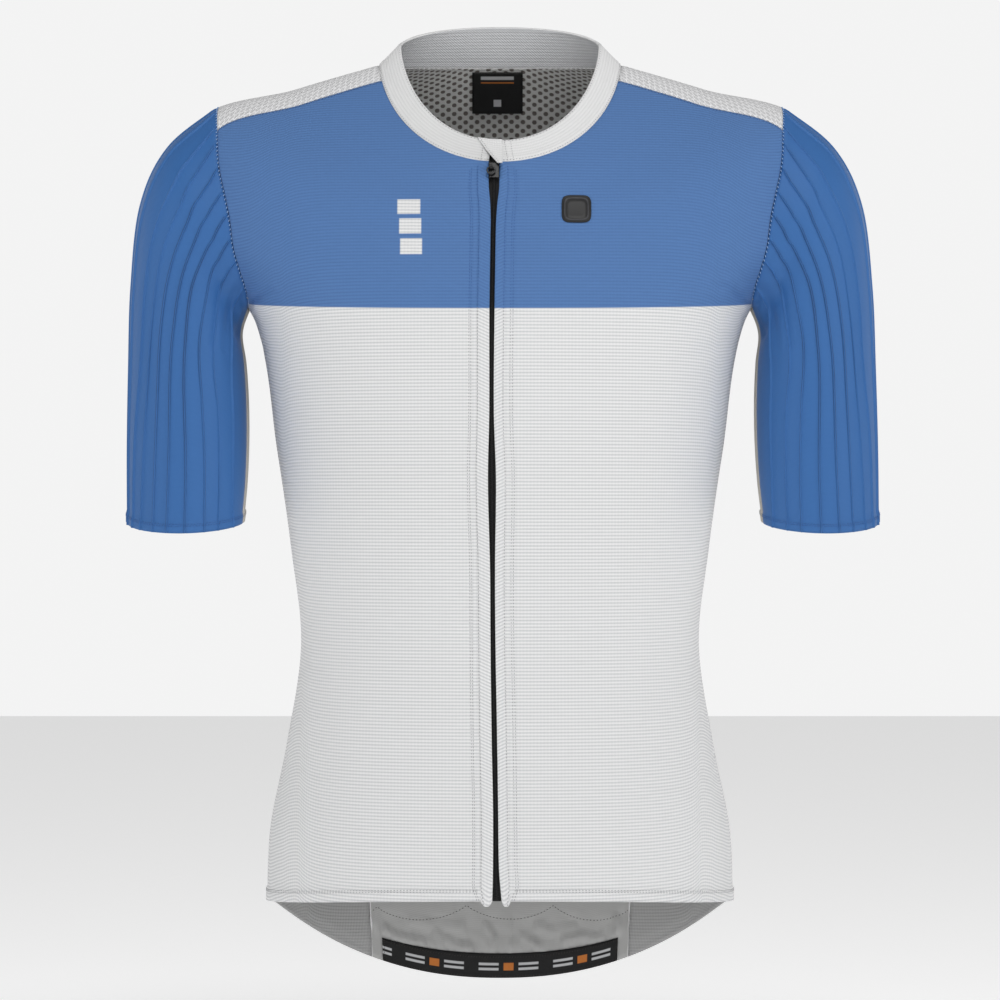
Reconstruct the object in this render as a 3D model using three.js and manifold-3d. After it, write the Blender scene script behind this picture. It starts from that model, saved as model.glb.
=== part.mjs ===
// A short-sleeved cycling jersey, filled out as it is when worn, with nobody in it.
// Millimetres, +Z up. The front faces -Y and the wearer's left is +X. The origin lies between the
// shoulders, at the base of the neck, where the wearer carries the garment.
//
// Every panel is a thin closed wall. Its outer face lies on one of three surfaces: the trunk, a sleeve
// or the collar. Each surface is worked out from a short table of rings, and each panel is a grid
// between the seams that bound it, so two panels that are sewn together share their seam's points.
import * as THREE from "three";
import Module from "manifold-3d";
import { mergeVertices } from "three/addons/utils/BufferGeometryUtils.js";

// Driving dimensions
const CLOTH = 1.2; // thickness of a knitted panel
const COLLAR_CLOTH = 1.8; // the collar band is folded double
const STRIP = 1.0; // thickness of tapes, plackets, elastic and label
const SEAM = 0.3; // space left between two pieces that are sewn together
const HEM_FOLD = 9; // height of the turned-up front hem
const HEM_LIFT = 0.5; // how far the turned-up hem stands out
const ELASTIC_HEIGHT = 18; // gripper elastic inside the back hem
const PLACKET_WIDTH = 9.5; // folded edge along each side of the zip
const LABEL = { width: 40, levels: 1.1, x: -2 };
const PLACKET_LIFT = 0.8; // how far a folded edge stands out
const RIB = { height: 0.8, share: 0.1 }; // raised ribs along each sleeve, half as wide as share of a step
const POCKET = { rows: 6, bulge: 2.6 }; // rear pockets, up to this row of the back
const COIL = 2.6; // width of the closed zip coil
const COLLAR_TOP_GAP = 2.5; // space between the collar's two ends at the top
const SLIDER = {
  z: -62,
  clear: 0.25,
  width: 7,
  height: 12,
  thickness: 2.4,
  lugX: -2.2,
  lugZ: 2,
  lugOut: 1.6,
  lugWidth: 2.2,
  lugRadius: 2.2,
  holeRadius: 1.3,
};
const PULL = { radius: 2.9, wire: 0.7 }; // the pull ring
const GARAGE = { edgeX: 1.5, width: 17, tip: 3, reach: 1.19, lift: 3.4, steps: 5 }; // flap over the zip's top

// Rings round the trunk, from the hem to the neck seam. width is the half width. front and back are the
// depths from the side seam. The three heights are at the centre front, the side and the centre back.
// square is the ring's exponent, 2 for an ellipse. tilt shapes the height between side and centre: small
// gives a straight slope, large a soft curve.
const TRUNK = [
  { at: "hem", width: 180, front: 112, back: 122, zFront: -609, zSide: -617, zBack: -692, square: 2.2, tilt: 1.5 },
  { at: "hip", width: 177, front: 112, back: 121, zFront: -556, zSide: -560, zBack: -600, square: 2.2, tilt: 1.2 },
  { at: "high hip", width: 164.5, front: 106, back: 107, zFront: -494, zSide: -497, zBack: -512, square: 2.2, tilt: 0.9 },
  { at: "waist", width: 153.5, front: 101, back: 93, zFront: -421, zSide: -421, zBack: -424, square: 2.2, tilt: 0.9 },
  { at: "ribs", width: 161, front: 106, back: 98, zFront: -345, zSide: -348, zBack: -345, square: 2.2, tilt: 0.9 },
  { at: "chest", width: 172, front: 115, back: 110, zFront: -268, zSide: -271, zBack: -265, square: 2.2, tilt: 0.9 },
  { at: "armpit", width: 189, front: 118, back: 118, zFront: -195, zSide: -171, zBack: -178, square: 2.2, tilt: 0.9 },
  { at: "armhole", width: 238, front: 112, back: 113, zFront: -143, zSide: -95, zBack: -97, square: 2.0, tilt: 0.7 },
  { at: "shoulder", width: 232, front: 101, back: 96, zFront: -103, zSide: -16, zBack: -34, square: 2.0, tilt: 0.45 },
  { at: "mid shoulder", width: 158, front: 92, back: 77, zFront: -76, zSide: 8, zBack: 4, square: 2.1, tilt: 0.3 },
  { at: "neck", width: 93.5, front: 84, back: 60, zFront: -54, zSide: 27, zBack: 31, square: 2.1, tilt: 0.15 },
];
const NECK_LEVEL = TRUNK.length - 1;
const COLLAR_TOP = { width: 77, front: 71, back: 51, zFront: -36.5, zSide: 44, zBack: 62, square: 2.1, tilt: 0.12 };

// The armhole seam on the trunk, as an angle round the trunk and a level between its rings. It starts at
// the top of the shoulder and runs down the front to the armpit, then up the back.
const ARMHOLE = [
  { angle: 90, level: 8.26 },
  { angle: 71.5, level: 8.08 },
  { angle: 61.5, level: 7.6 },
  { angle: 58.5, level: 7.15 },
  { angle: 62.5, level: 6.65 },
  { angle: 74, level: 6.24 },
  { angle: 90, level: 6.12 },
  { angle: 106, level: 6.24 },
  { angle: 117.5, level: 6.65 },
  { angle: 121, level: 7.15 },
  { angle: 118, level: 7.6 },
  { angle: 107, level: 8.08 },
];
const SHOULDER_END = 1; // the row of ARMHOLE where the shoulder seam ends
const ARMPIT = 6; // the row at the armpit
const BACK_SEAM_END = 9; // the row where the back seam ends
const SHOULDER_SEAM_ANGLE = 76; // where the shoulder seam meets the neck seam

// The seam between the back and each side back panel, up to the armhole.
const BACK_SEAM = [
  { level: 0, angle: 147.5 },
  { level: 1.5, angle: 144.5 },
  { level: 3, angle: 140.5 },
  { level: 5, angle: 136.5 },
  { level: 6.2, angle: 130 },
];

// The zip down the front: how far its line lies to the wearer's left, and the space between the fronts.
const ZIP = [
  { z: -618, line: -2, gap: 8 },
  { z: -585, line: -3, gap: 4.5 },
  { z: -540, line: -3.3, gap: 3.8 },
  { z: -495, line: -4.1, gap: 4.1 },
  { z: -421, line: -5.2, gap: 3.7 },
  { z: -361, line: -5.6, gap: 3.7 },
  { z: -295, line: -6, gap: 6 },
  { z: -243, line: -6.3, gap: 3.4 },
  { z: -168, line: -6, gap: 3.8 },
  { z: -109, line: -5.2, gap: 3.9 },
  { z: -97, line: -4.9, gap: 4.2 },
  { z: -85, line: -4.6, gap: 5.6 },
  { z: -74, line: -4.5, gap: 7.9 },
  { z: -55, line: -4.5, gap: 8.2 },
];

// Rings along a sleeve after the armhole seam, down to the cuff, for a sleeve on the +X side. Each ring
// runs through an inner point beside the trunk and an outer point. depth is half its front-to-back
// size, y its middle, and drop how far its front hangs below its middle.
const SLEEVE = [
  { innerX: 199, innerZ: -181, outerX: 256.5, outerZ: -38, depth: 57, y: -1, drop: 0 },
  { innerX: 196, innerZ: -204, outerX: 277, outerZ: -82, depth: 57, y: -3, drop: 1 },
  { innerX: 194, innerZ: -233, outerX: 284, outerZ: -145, depth: 56, y: -6, drop: 3 },
  { innerX: 193.5, innerZ: -265, outerX: 285.5, outerZ: -209, depth: 54, y: -11, drop: 5 },
  { innerX: 194.5, innerZ: -296, outerX: 286, outerZ: -270, depth: 52.5, y: -17, drop: 7 },
  { innerX: 197, innerZ: -325, outerX: 285.5, outerZ: -326, depth: 51, y: -22, drop: 9 },
];
const SLEEVE_LEAN = { right: -0.5, left: 4 }; // how far each cuff stands further out than in the table
const UNDER_PANEL = { front: 1, back: 2 }; // its reach from the armpit, in steps round the armhole
const CUFF_FOLD = 7; // height of the turned-up cuff

const BACK_FAN = 0.62; // the back's rows that end on the armhole, as a share of its height above their foot

// Counts of grid steps between seams
const STEPS = {
  low: 13,
  zipUp: 5,
  neckFront: 7,
  armholeFront: 12,
  armholeBack: 8,
  frontAcross: 8,
  sideAcross: 5,
  backAcross: 20,
  sleeveLong: 9,
  collarUp: 3,
};
const ZIP_AT_ARMPIT = 6.35; // level of the zip in the row of points that ends at the armpit

const DEG = Math.PI / 180;

// Vector helpers
const add = (a, b, k = 1) => [a[0] + b[0] * k, a[1] + b[1] * k, a[2] + b[2] * k];
const sub = (a, b) => add(a, b, -1);
const dot = (a, b) => a[0] * b[0] + a[1] * b[1] + a[2] * b[2];
const cross = (a, b) => [a[1] * b[2] - a[2] * b[1], a[2] * b[0] - a[0] * b[2], a[0] * b[1] - a[1] * b[0]];
const size = (a) => Math.sqrt(dot(a, a));
const unit = (a) => add([0, 0, 0], a, 1 / (size(a) || 1));
const mix = (a, b, t) => a.map((value, k) => value + (b[k] - value) * t);
const flip = (point, side) => [point[0] * side, point[1], point[2]];
const range = (n) => Array.from({ length: n + 1 }, (_, i) => i);

// A smooth curve through values that are one step apart, at t steps from the first.
function smooth(values, t) {
  const last = values.length - 1;
  const i = Math.max(0, Math.min(Math.floor(t), last - 1));
  const f = t - i;
  const before = i > 0 ? values[i - 1] : 2 * values[0] - values[1];
  const after = i + 2 <= last ? values[i + 2] : 2 * values[last] - values[last - 1];
  const [b, c] = [values[i], values[i + 1]];
  return b + 0.5 * f * (c - before + f * (2 * before - 5 * b + 4 * c - after + f * (3 * (b - c) + after - before)));
}

// One named column of a table of rows, read smoothly between rows.
const column = (table, name, t) => smooth(table.map((row) => row[name]), t);

// The value of a column where another column, which rises or falls steadily, has the value x.
function lookUp(table, key, x, name) {
  const rows = [...table].sort((a, b) => a[key] - b[key]);
  const i = Math.max(0, Math.min(rows.length - 2, rows.findIndex((row) => row[key] > x) - 1));
  const inside = x >= rows.at(-1)[key] ? rows.length - 2 : i;
  const share = (x - rows[inside][key]) / (rows[inside + 1][key] - rows[inside][key]);
  return smooth(rows.map((row) => row[name]), inside + Math.max(0, Math.min(1, share)));
}

// A point of a ring, at an angle from the centre front (0) by the side (90) to the centre back (180).
function ringPoint(ring, angle) {
  const [sine, cosine] = [Math.sin(angle * DEG), Math.cos(angle * DEG)];
  const across = Math.sign(sine) * Math.abs(sine) ** (2 / ring.square);
  const deep = Math.abs(cosine) ** (2 / ring.square);
  const slope = (Math.hypot(deep, ring.tilt) - ring.tilt) / (Math.hypot(1, ring.tilt) - ring.tilt);
  const [depth, end] = cosine > 0 ? [-ring.front, ring.zFront] : [ring.back, ring.zBack];
  return [ring.width * across, depth * deep, ring.zSide + (end - ring.zSide) * slope];
}

const RING_SIZES = ["width", "front", "back", "zFront", "zSide", "zBack", "square", "tilt"];

function trunkRing(level) {
  return Object.fromEntries(RING_SIZES.map((name) => [name, column(TRUNK, name, level)]));
}

// A point of the trunk. spot is [angle, level].
const trunk = (spot) => ringPoint(trunkRing(spot[1]), spot[0]);

// A point of the collar, at an angle and a share of the way up the band.
function collar([angle, share]) {
  const foot = ringPoint(TRUNK[NECK_LEVEL], angle);
  const top = ringPoint(COLLAR_TOP, angle);
  return mix(foot, top, share);
}

// The outward normal of a surface that is a function of a spot.
function normalOf(surface, spot, step, outward) {
  const along = (k) => {
    const [low, high] = [[...spot], [...spot]];
    low[k] -= step[k];
    high[k] += step[k];
    return sub(surface(high), surface(low));
  };
  const normal = unit(cross(along(0), along(1)));
  return dot(normal, outward) < 0 ? add([0, 0, 0], normal, -1) : normal;
}

function trunkNormal(spot) {
  const inside = [spot[0], Math.min(Math.max(spot[1], 0.02), NECK_LEVEL - 0.02)];
  const away = sub(trunk(inside), [0, 0, -60 + Math.min(0, trunk(inside)[2] + 60)]);
  return normalOf(trunk, inside, [0.2, 0.02], away);
}

const collarNormal = (spot) => {
  const point = collar(spot);
  return normalOf(collar, spot, [0.2, 0.02], [point[0], point[1] + 10, 0]);
};

// Spots along a path of spots, evenly spaced on the surface. path(0) is its start and path(1) its end.
function evenly(path, surface, steps, fine = 240) {
  const spots = range(fine).map((k) => path(k / fine));
  const points = spots.map(surface);
  const length = [0];
  for (let k = 1; k <= fine; k++) length.push(length[k - 1] + size(sub(points[k], points[k - 1])));
  return range(steps).map((i) => {
    const wanted = (length[fine] * i) / steps;
    const k = Math.max(1, length.findIndex((value) => value >= wanted - 1e-9));
    const share = (wanted - length[k - 1]) / (length[k] - length[k - 1]);
    return path((k - 1 + share) / fine);
  });
}

// Spots up from a hem: rows at the given heights for its fold, then even steps.
function fromHem(path, surface, steps, heights) {
  const fine = evenly(path, surface, 1500);
  const foot = surface(fine[0]);
  const rows = heights.map((height) => fine.findIndex((spot) => size(sub(surface(spot), foot)) >= height));
  const first = rows.at(-1);
  const rest = range(steps).slice(1).map((i) => fine[Math.round(first + ((1500 - first) * i) / steps)]);
  return [fine[0], ...rows.map((k) => fine[k]), ...rest];
}

const line = (from, to) => (t) => mix(from, to, t);

// The armhole seam, by its row number in ARMHOLE, which goes round once in 12 rows.
function armholeSpot(row) {
  const n = ARMHOLE.length;
  const turns = (name) => range(n + 4).map((k) => ARMHOLE[(k + n - 2) % n][name]);
  const t = (((row % n) + n) % n) + 2;
  return [smooth(turns("angle"), t), smooth(turns("level"), t)];
}

// The rows of the armhole's points: down the front from the shoulder seam, then up the back to it.
const rowsBetween = (from, to, steps) =>
  evenly((t) => [from + (to - from) * t], ([row]) => trunk(armholeSpot(row)), steps).map(([row]) => row);
const ARMHOLE_ROWS = [
  ...rowsBetween(SHOULDER_END, ARMPIT, STEPS.armholeFront),
  ...rowsBetween(ARMPIT, BACK_SEAM_END, STEPS.sideAcross).slice(1),
  ...rowsBetween(BACK_SEAM_END, SHOULDER_END + ARMHOLE.length, STEPS.armholeBack).slice(1),
];
const AROUND = ARMHOLE_ROWS.length - 1;
const ARMPIT_COLUMN = STEPS.armholeFront;
const BACK_COLUMN = ARMPIT_COLUMN + STEPS.sideAcross;
const armholeAt = (k) => armholeSpot(ARMHOLE_ROWS[((k % AROUND) + AROUND) % AROUND]);

function backSeam(t) {
  const [angle, level] = armholeAt(BACK_COLUMN);
  const rows = [...BACK_SEAM, { angle, level }];
  return ["angle", "level"].map((name) => column(rows, name, t * (rows.length - 1)));
}

// The spot on the front at a distance x to the wearer's left of the middle, at a level.
function frontSpot(x, level) {
  const ring = trunkRing(level);
  return [(Math.sign(x) * Math.asin((Math.abs(x) / ring.width) ** (ring.square / 2))) / DEG, level];
}

const zipLine = (level) => lookUp(ZIP, "z", trunkRing(level).zFront, "line");
const zipGap = (level) => lookUp(ZIP, "z", trunkRing(level).zFront, "gap");

// One row of spots between two ends. The first distances are fixed and the others are even.
function rowOfSpots(from, to, surface, first, steps) {
  const fine = evenly(line(from, to), surface, 400);
  const points = fine.map(surface);
  const length = [0];
  for (let k = 1; k < points.length; k++) length.push(length[k - 1] + size(sub(points[k], points[k - 1])));
  const at = (distance) => {
    const k = Math.max(1, length.findIndex((value) => value >= distance - 1e-6));
    return mix(fine[k - 1], fine[k], (distance - length[k - 1]) / (length[k] - length[k - 1]));
  };
  const start = first.at(-1) ?? 0;
  const rest = range(steps).slice(1, -1).map((i) => at(start + ((length.at(-1) - start) * i) / steps));
  return [from, ...first.map(at), ...rest, to];
}

// A grid of spots between four sides. left and right run up, bottom and top run from left to right.
function gridOfSpots(left, right, bottom, top) {
  const [rows, columns] = [left.length - 1, bottom.length - 1];
  const corners = [bottom[0], bottom[columns], top[0], top[columns]];
  return range(rows).map((i) =>
    range(columns).map((j) => {
      const [s, t] = [j / columns, i / rows];
      const sides = mix(left[i], right[i], s);
      const ends = mix(bottom[j], top[j], t);
      const middle = mix(mix(corners[0], corners[1], s), mix(corners[2], corners[3], s), t);
      return [0, 1].map((k) => sides[k] + ends[k] - middle[k]);
    }),
  );
}

// Pulls the sides of a grid of points back from its seams by half the space between two pieces.
function pullEdges(points, normals, sides = { left: 1, right: 1, bottom: 1, top: 1 }) {
  const [rows, columns] = [points.length - 1, points[0].length - 1];
  const moved = points.map((row) => row.map((p) => [...p]));
  const pull = (i, j, [i0, j0], [i1, j1], [i2, j2]) => {
    const across = unit(cross(sub(points[i1][j1], points[i0][j0]), normals[i][j]));
    const sign = dot(across, sub(points[i2][j2], points[i][j])) > 0 ? 1 : -1;
    moved[i][j] = add(moved[i][j], across, (sign * SEAM) / 2);
  };
  for (const i of range(rows)) {
    const [below, above] = [Math.max(i - 1, 0), Math.min(i + 1, rows)];
    if (sides.left) pull(i, 0, [below, 0], [above, 0], [i, 1]);
    if (sides.right) pull(i, columns, [below, columns], [above, columns], [i, columns - 1]);
  }
  for (const j of range(columns)) {
    const [before, after] = [Math.max(j - 1, 0), Math.min(j + 1, columns)];
    if (sides.bottom) pull(0, j, [0, before], [0, after], [1, j]);
    if (sides.top) pull(rows, j, [rows, before], [rows, after], [rows - 1, j]);
  }
  return moved;
}

// A closed geometry from its faces, each a list of points, turned to face out.
function closedGeometry(faces) {
  const triangles = faces.flatMap((face) => range(face.length - 3).map((k) => [face[0], face[k + 1], face[k + 2]]));
  const volume = triangles.reduce((sum, [a, b, c]) => sum + dot(a, cross(b, c)), 0);
  const turned = volume < 0 ? triangles.map(([a, b, c]) => [a, c, b]) : triangles;
  const geometry = new THREE.BufferGeometry();
  geometry.setAttribute("position", new THREE.Float32BufferAttribute(turned.flat(2), 3));
  const merged = mergeVertices(geometry, 1e-5);
  merged.computeVertexNormals();
  return merged;
}

// A wall between two grids of points with the same rows and columns. Each of its quads is split along the
// shorter diagonal.
function wall(outer, inner) {
  const [rows, columns] = [outer.length - 1, outer[0].length - 1];
  const faces = [];
  for (const i of range(rows - 1)) {
    for (const j of range(columns - 1)) {
      const corners = (face) => [face[i][j], face[i][j + 1], face[i + 1][j + 1], face[i + 1][j]];
      const [a, b, c, d] = corners(outer);
      const [e, f, g, h] = corners(inner);
      const first = size(sub(a, c)) <= size(sub(b, d));
      faces.push(first ? [a, b, c, d] : [b, c, d, a]);
      faces.push(first ? [e, h, g, f] : [f, e, h, g]);
    }
    faces.push([outer[i][0], outer[i + 1][0], inner[i + 1][0], inner[i][0]]);
    faces.push([outer[i][columns], inner[i][columns], inner[i + 1][columns], outer[i + 1][columns]]);
  }
  for (const j of range(columns - 1)) {
    faces.push([outer[0][j], inner[0][j], inner[0][j + 1], outer[0][j + 1]]);
    faces.push([outer[rows][j], outer[rows][j + 1], inner[rows][j + 1], inner[rows][j]]);
  }
  return closedGeometry(faces);
}

// Points moved along their normals, each by its own distance.
const shift = (points, normals, by) =>
  points.map((row, i) => row.map((p, j) => add(p, normals[i][j], typeof by === "function" ? by(i, j) : by)));
const part = (grid, i0, i1, j0, j1) => grid.slice(i0, i1 + 1).map((row) => row.slice(j0, j1 + 1));
const flipGrid = (grid, side) => grid.map((row) => row.map((p) => flip(p, side)));

// Where a second surface leaves a seam of the trunk: the seam's point for its outer face, and for each of
// the two walls the way from its outer to its inner face. Over a ridge both walls end on the middle plane.
function join(point, along, trunkSide, joinedSide, away) {
  const middle = unit(add(trunkSide, joinedSide));
  const ridge = dot(away, trunkSide) < 0;
  const mitre = add([0, 0, 0], middle, -1 / Math.max(0.75, dot(middle, trunkSide)));
  const across = unit(cross(along, middle));
  return {
    outer: add(point, across, dot(across, away) < 0 ? -0.9 * SEAM : 0.9 * SEAM),
    trunkIn: ridge ? mitre : add([0, 0, 0], trunkSide, -1),
    joinedIn: ridge ? mitre : add([0, 0, 0], joinedSide, -1),
  };
}

// Materials
const finish = (color, roughness) => new THREE.MeshStandardMaterial({ color, roughness, metalness: 0 });
const MATERIALS = {
  knit: finish(0xe6e7e8, 0.75),
  mesh: finish(0xd9dadb, 0.8),
  sleeve: finish(0x4a78b8, 0.65),
  underarm: finish(0xc9c7c3, 0.75),
  collar: finish(0xe2e3e3, 0.75),
  black: finish(0x141416, 0.6),
  slider: finish(0x1b1b1d, 0.35),
};

const jersey = new THREE.Group();

function addPiece(name, geometry, material) {
  const mesh = new THREE.Mesh(geometry, material);
  mesh.name = name;
  jersey.add(mesh);
}

// Sleeves. A spot of a sleeve is [column, share]: its place round the armhole, counted in the armhole's
// points, and its share of the way from the armhole to the cuff.
function sleevePoint([column_, share], lean) {
  const low = Math.floor(column_);
  const f = column_ - low;
  const seam = mix(trunk(armholeAt(low)), trunk(armholeAt(low + 1)), f);
  const turnsBefore = Math.floor(low / AROUND) * ARMHOLE.length;
  const index = ((low % AROUND) + AROUND) % AROUND;
  const row = ARMHOLE_ROWS[index] + (ARMHOLE_ROWS[index + 1] - ARMHOLE_ROWS[index]) * f + turnsBefore;
  const turn = (row / ARMHOLE.length) * 2 * Math.PI;
  const rings = SLEEVE.map((ring) => {
    const middle = [(ring.innerX + ring.outerX) / 2, ring.y, (ring.innerZ + ring.outerZ) / 2];
    const outward = [(ring.outerX - ring.innerX) / 2, 0, (ring.outerZ - ring.innerZ) / 2];
    const forward = [0, -ring.depth, -ring.drop];
    return add(add(middle, outward, Math.cos(turn)), forward, Math.sin(turn));
  });
  const points = [seam, ...rings];
  const point = [0, 1, 2].map((k) => smooth(points.map((p) => p[k]), share * SLEEVE.length));
  return add(point, [lean * share, 0, 0]);
}

function sleeveNormal([column_, share], lean) {
  const inside = [column_, Math.min(Math.max(share, 0.015), 0.985)];
  const axis = range(11).map((k) => sleevePoint([(k * AROUND) / 12, inside[1]], lean));
  const middle = axis.reduce((sum, p) => add(sum, p, 1 / 12), [0, 0, 0]);
  const surface = (spot) => sleevePoint(spot, lean);
  return normalOf(surface, inside, [0.3, 0.01], sub(surface(inside), middle));
}

// The join of a sleeve to the trunk at a column of the armhole.
function armholeJoin(column_, lean) {
  const low = Math.floor(column_);
  const spot = mix(armholeAt(low), armholeAt(low + 1), column_ - low);
  const point = sleevePoint([column_, 0], lean);
  const along = sub(sleevePoint([column_ + 0.3, 0], lean), sleevePoint([column_ - 0.3, 0], lean));
  const away = sub(sleevePoint([column_, 0.03], lean), point);
  return join(point, along, trunkNormal(spot), sleeveNormal([column_, 0], lean), away);
}

// One piece of a sleeve, from a list of columns. ribs marks the columns that are raised.
function sleevePiece(columns, ribs, lean, side) {
  const surface = (spot) => sleevePoint(spot, lean);
  const byColumn = columns.map((k) =>
    fromHem((t) => [k, 1 - t], surface, STEPS.sleeveLong, [CUFF_FOLD - 0.4, CUFF_FOLD + 0.4]));
  const spots = byColumn[0].map((_, i) => byColumn.map((line_) => line_[i]));
  const normals = spots.map((row) => row.map((spot) => sleeveNormal(spot, lean)));
  const points = spots.map((row) => row.map(surface));
  const top = points.length - 1;
  const joins = columns.map((k) => armholeJoin(k, lean));
  points[top] = joins.map((each) => each.outer);
  const base = pullEdges(points, normals, { left: 1, right: 1 });
  const outer = shift(base, normals, (i, j) => {
    const rib = i < top && ribs[j] ? RIB.height : 0;
    return rib + (i < 2 ? HEM_LIFT : 0);
  });
  const inner = shift(base, normals, -CLOTH);
  inner[top] = base[top].map((p, j) => add(p, joins[j].joinedIn, CLOTH));
  return wall(flipGrid(outer, side), flipGrid(inner, side));
}

const UNDER = [ARMPIT_COLUMN - UNDER_PANEL.front, ARMPIT_COLUMN + UNDER_PANEL.back];
for (const [name, side, lean] of [["left", 1, SLEEVE_LEAN.left], ["right", -1, SLEEVE_LEAN.right]]) {
  const columns = [UNDER[1]];
  const ribs = [false];
  for (let k = UNDER[1] + 1; k < UNDER[0] + AROUND; k++) {
    columns.push(k - RIB.share, k, k + RIB.share);
    ribs.push(false, true, false);
  }
  columns.push(UNDER[0] + AROUND);
  ribs.push(false);
  addPiece(`sleeve_${name}`, sleevePiece(columns, ribs, lean, side), MATERIALS.sleeve);
  const under = range(UNDER[1] - UNDER[0]).map((k) => UNDER[0] + k);
  addPiece(`sleeve_under_${name}`, sleevePiece(under, under.map(() => false), lean, side), MATERIALS.underarm);
}

// Trunk panels. The edges along the armhole end on the middle plane between trunk and sleeve.
const SEAM_ROWS = [HEM_FOLD - 0.4, HEM_FOLD + 0.4, ELASTIC_HEIGHT];
const LOW = SEAM_ROWS.length + STEPS.low; // the row of the armpit and of the end of the back seam
const sideSeam = fromHem((t) => mix([90, 0], armholeAt(ARMPIT_COLUMN), t), trunk, STEPS.low, SEAM_ROWS);
const backSeamRows = fromHem(backSeam, trunk, STEPS.low, SEAM_ROWS);
const neckCorner = [SHOULDER_SEAM_ANGLE, NECK_LEVEL];
const shoulderEnd = armholeAt(0);

// The same spots with the rows of the hem's folds at their own heights in every column.
function levelHem(spots) {
  const byColumn = spots[0].map((foot, j) => {
    const fine = range(300).map((k) => [foot[0], k / 600]);
    const points = fine.map(trunk);
    const heights = points.map((p) => size(sub(p, points[0])));
    return SEAM_ROWS.map((height, n) => [spots[n + 1][j][0], fine[heights.findIndex((h) => h >= height)][1]]);
  });
  return spots.map((row, i) => (i > 0 && i <= SEAM_ROWS.length ? row.map((_, j) => byColumn[j][i - 1]) : row));
}

function panel(panelSpots) {
  const spots = levelHem(panelSpots);
  const points = spots.map((row) => row.map(trunk));
  const normals = spots.map((row) => row.map(trunkNormal));
  const base = pullEdges(points, normals);
  return { points, normals, base, inner: shift(base, normals, -CLOTH) };
}

function mitreEdge(made, cells) {
  for (const [i, j, k, side] of cells) {
    const way = flip(armholeJoin(k, 0).trunkIn, side);
    made.inner[i][j] = add(made.base[i][j], way, CLOTH);
  }
}

// The join of the collar to the trunk at an angle round the neck.
function neckJoin(angle) {
  const foot = [angle, 0];
  const along = sub(collar([angle + 0.5, 0]), collar([angle - 0.5, 0]));
  const away = sub(collar([angle, 0.2]), collar(foot));
  return join(collar(foot), along, trunkNormal([angle, NECK_LEVEL]), collarNormal(foot), away);
}

function mitreNeck(made, cells) {
  for (const [i, j, angle] of cells) made.inner[i][j] = add(made.base[i][j], neckJoin(angle).trunkIn, CLOTH);
}

const armholeFront = range(STEPS.armholeFront).slice(1).map((n) => armholeAt(ARMPIT_COLUMN - n));
const zipBelow = fromHem((t) => frontSpot(-4, t * ZIP_AT_ARMPIT), trunk, STEPS.low, SEAM_ROWS);
const zipAbove = evenly((t) => frontSpot(-4, ZIP_AT_ARMPIT + (NECK_LEVEL - ZIP_AT_ARMPIT) * t), trunk, STEPS.zipUp);
const zipLevels = [...zipBelow, ...zipAbove.slice(1)].map((spot) => spot[1]);
const necklines = {};
const fronts = {};
for (const [name, side] of [["left", 1], ["right", -1]]) {
  const edge = zipLevels.map((level) => frontSpot(side * zipLine(level) + zipGap(level) / 2, level));
  const neckline = evenly(line(edge.at(-1), neckCorner), trunk, STEPS.neckFront);
  necklines[name] = neckline.map((spot) => spot[0]);
  const left = [...edge, ...neckline.slice(1)];
  const right = [...sideSeam, ...armholeFront];
  const fold = [PLACKET_WIDTH - 0.4, PLACKET_WIDTH + 0.4];
  const spots = left.map((spot, i) => rowOfSpots(spot, right[i], trunk, fold, STEPS.frontAcross));
  const made = panel(spots);
  fronts[name] = made;
  const last = spots[0].length - 1;
  mitreEdge(made, range(STEPS.armholeFront).map((n) => [LOW + n, last, ARMPIT_COLUMN - n, 1]));
  const foot = edge.length - 1;
  mitreNeck(made, range(STEPS.neckFront).map((n) => [foot + n, 0, spots[foot + n][0][0]]));
  const outer = shift(made.base, made.normals, (i, j) => {
    const placket = j < 2 && i < edge.length ? PLACKET_LIFT : 0;
    return Math.max(placket, i < 2 ? HEM_LIFT : 0);
  });
  addPiece(`front_${name}`, wall(flipGrid(outer, side), flipGrid(made.inner, side)), MATERIALS.knit);
  // The side back panel on this side
  const across = range(STEPS.sideAcross);
  const hem = evenly(line(sideSeam[0], backSeamRows[0]), trunk, STEPS.sideAcross);
  const armholeEdge = across.map((n) => armholeAt(ARMPIT_COLUMN + n));
  const sideBack = panel(gridOfSpots(sideSeam, backSeamRows, hem, armholeEdge));
  mitreEdge(sideBack, across.map((n) => [LOW, n, ARMPIT_COLUMN + n, 1]));
  const sideOuter = shift(sideBack.base, sideBack.normals, (i) => (i < 2 ? HEM_LIFT : 0));
  const sideWall = wall(flipGrid(sideOuter, side), flipGrid(sideBack.inner, side));
  addPiece(`side_back_${name}`, sideWall, MATERIALS.knit);
}

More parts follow.
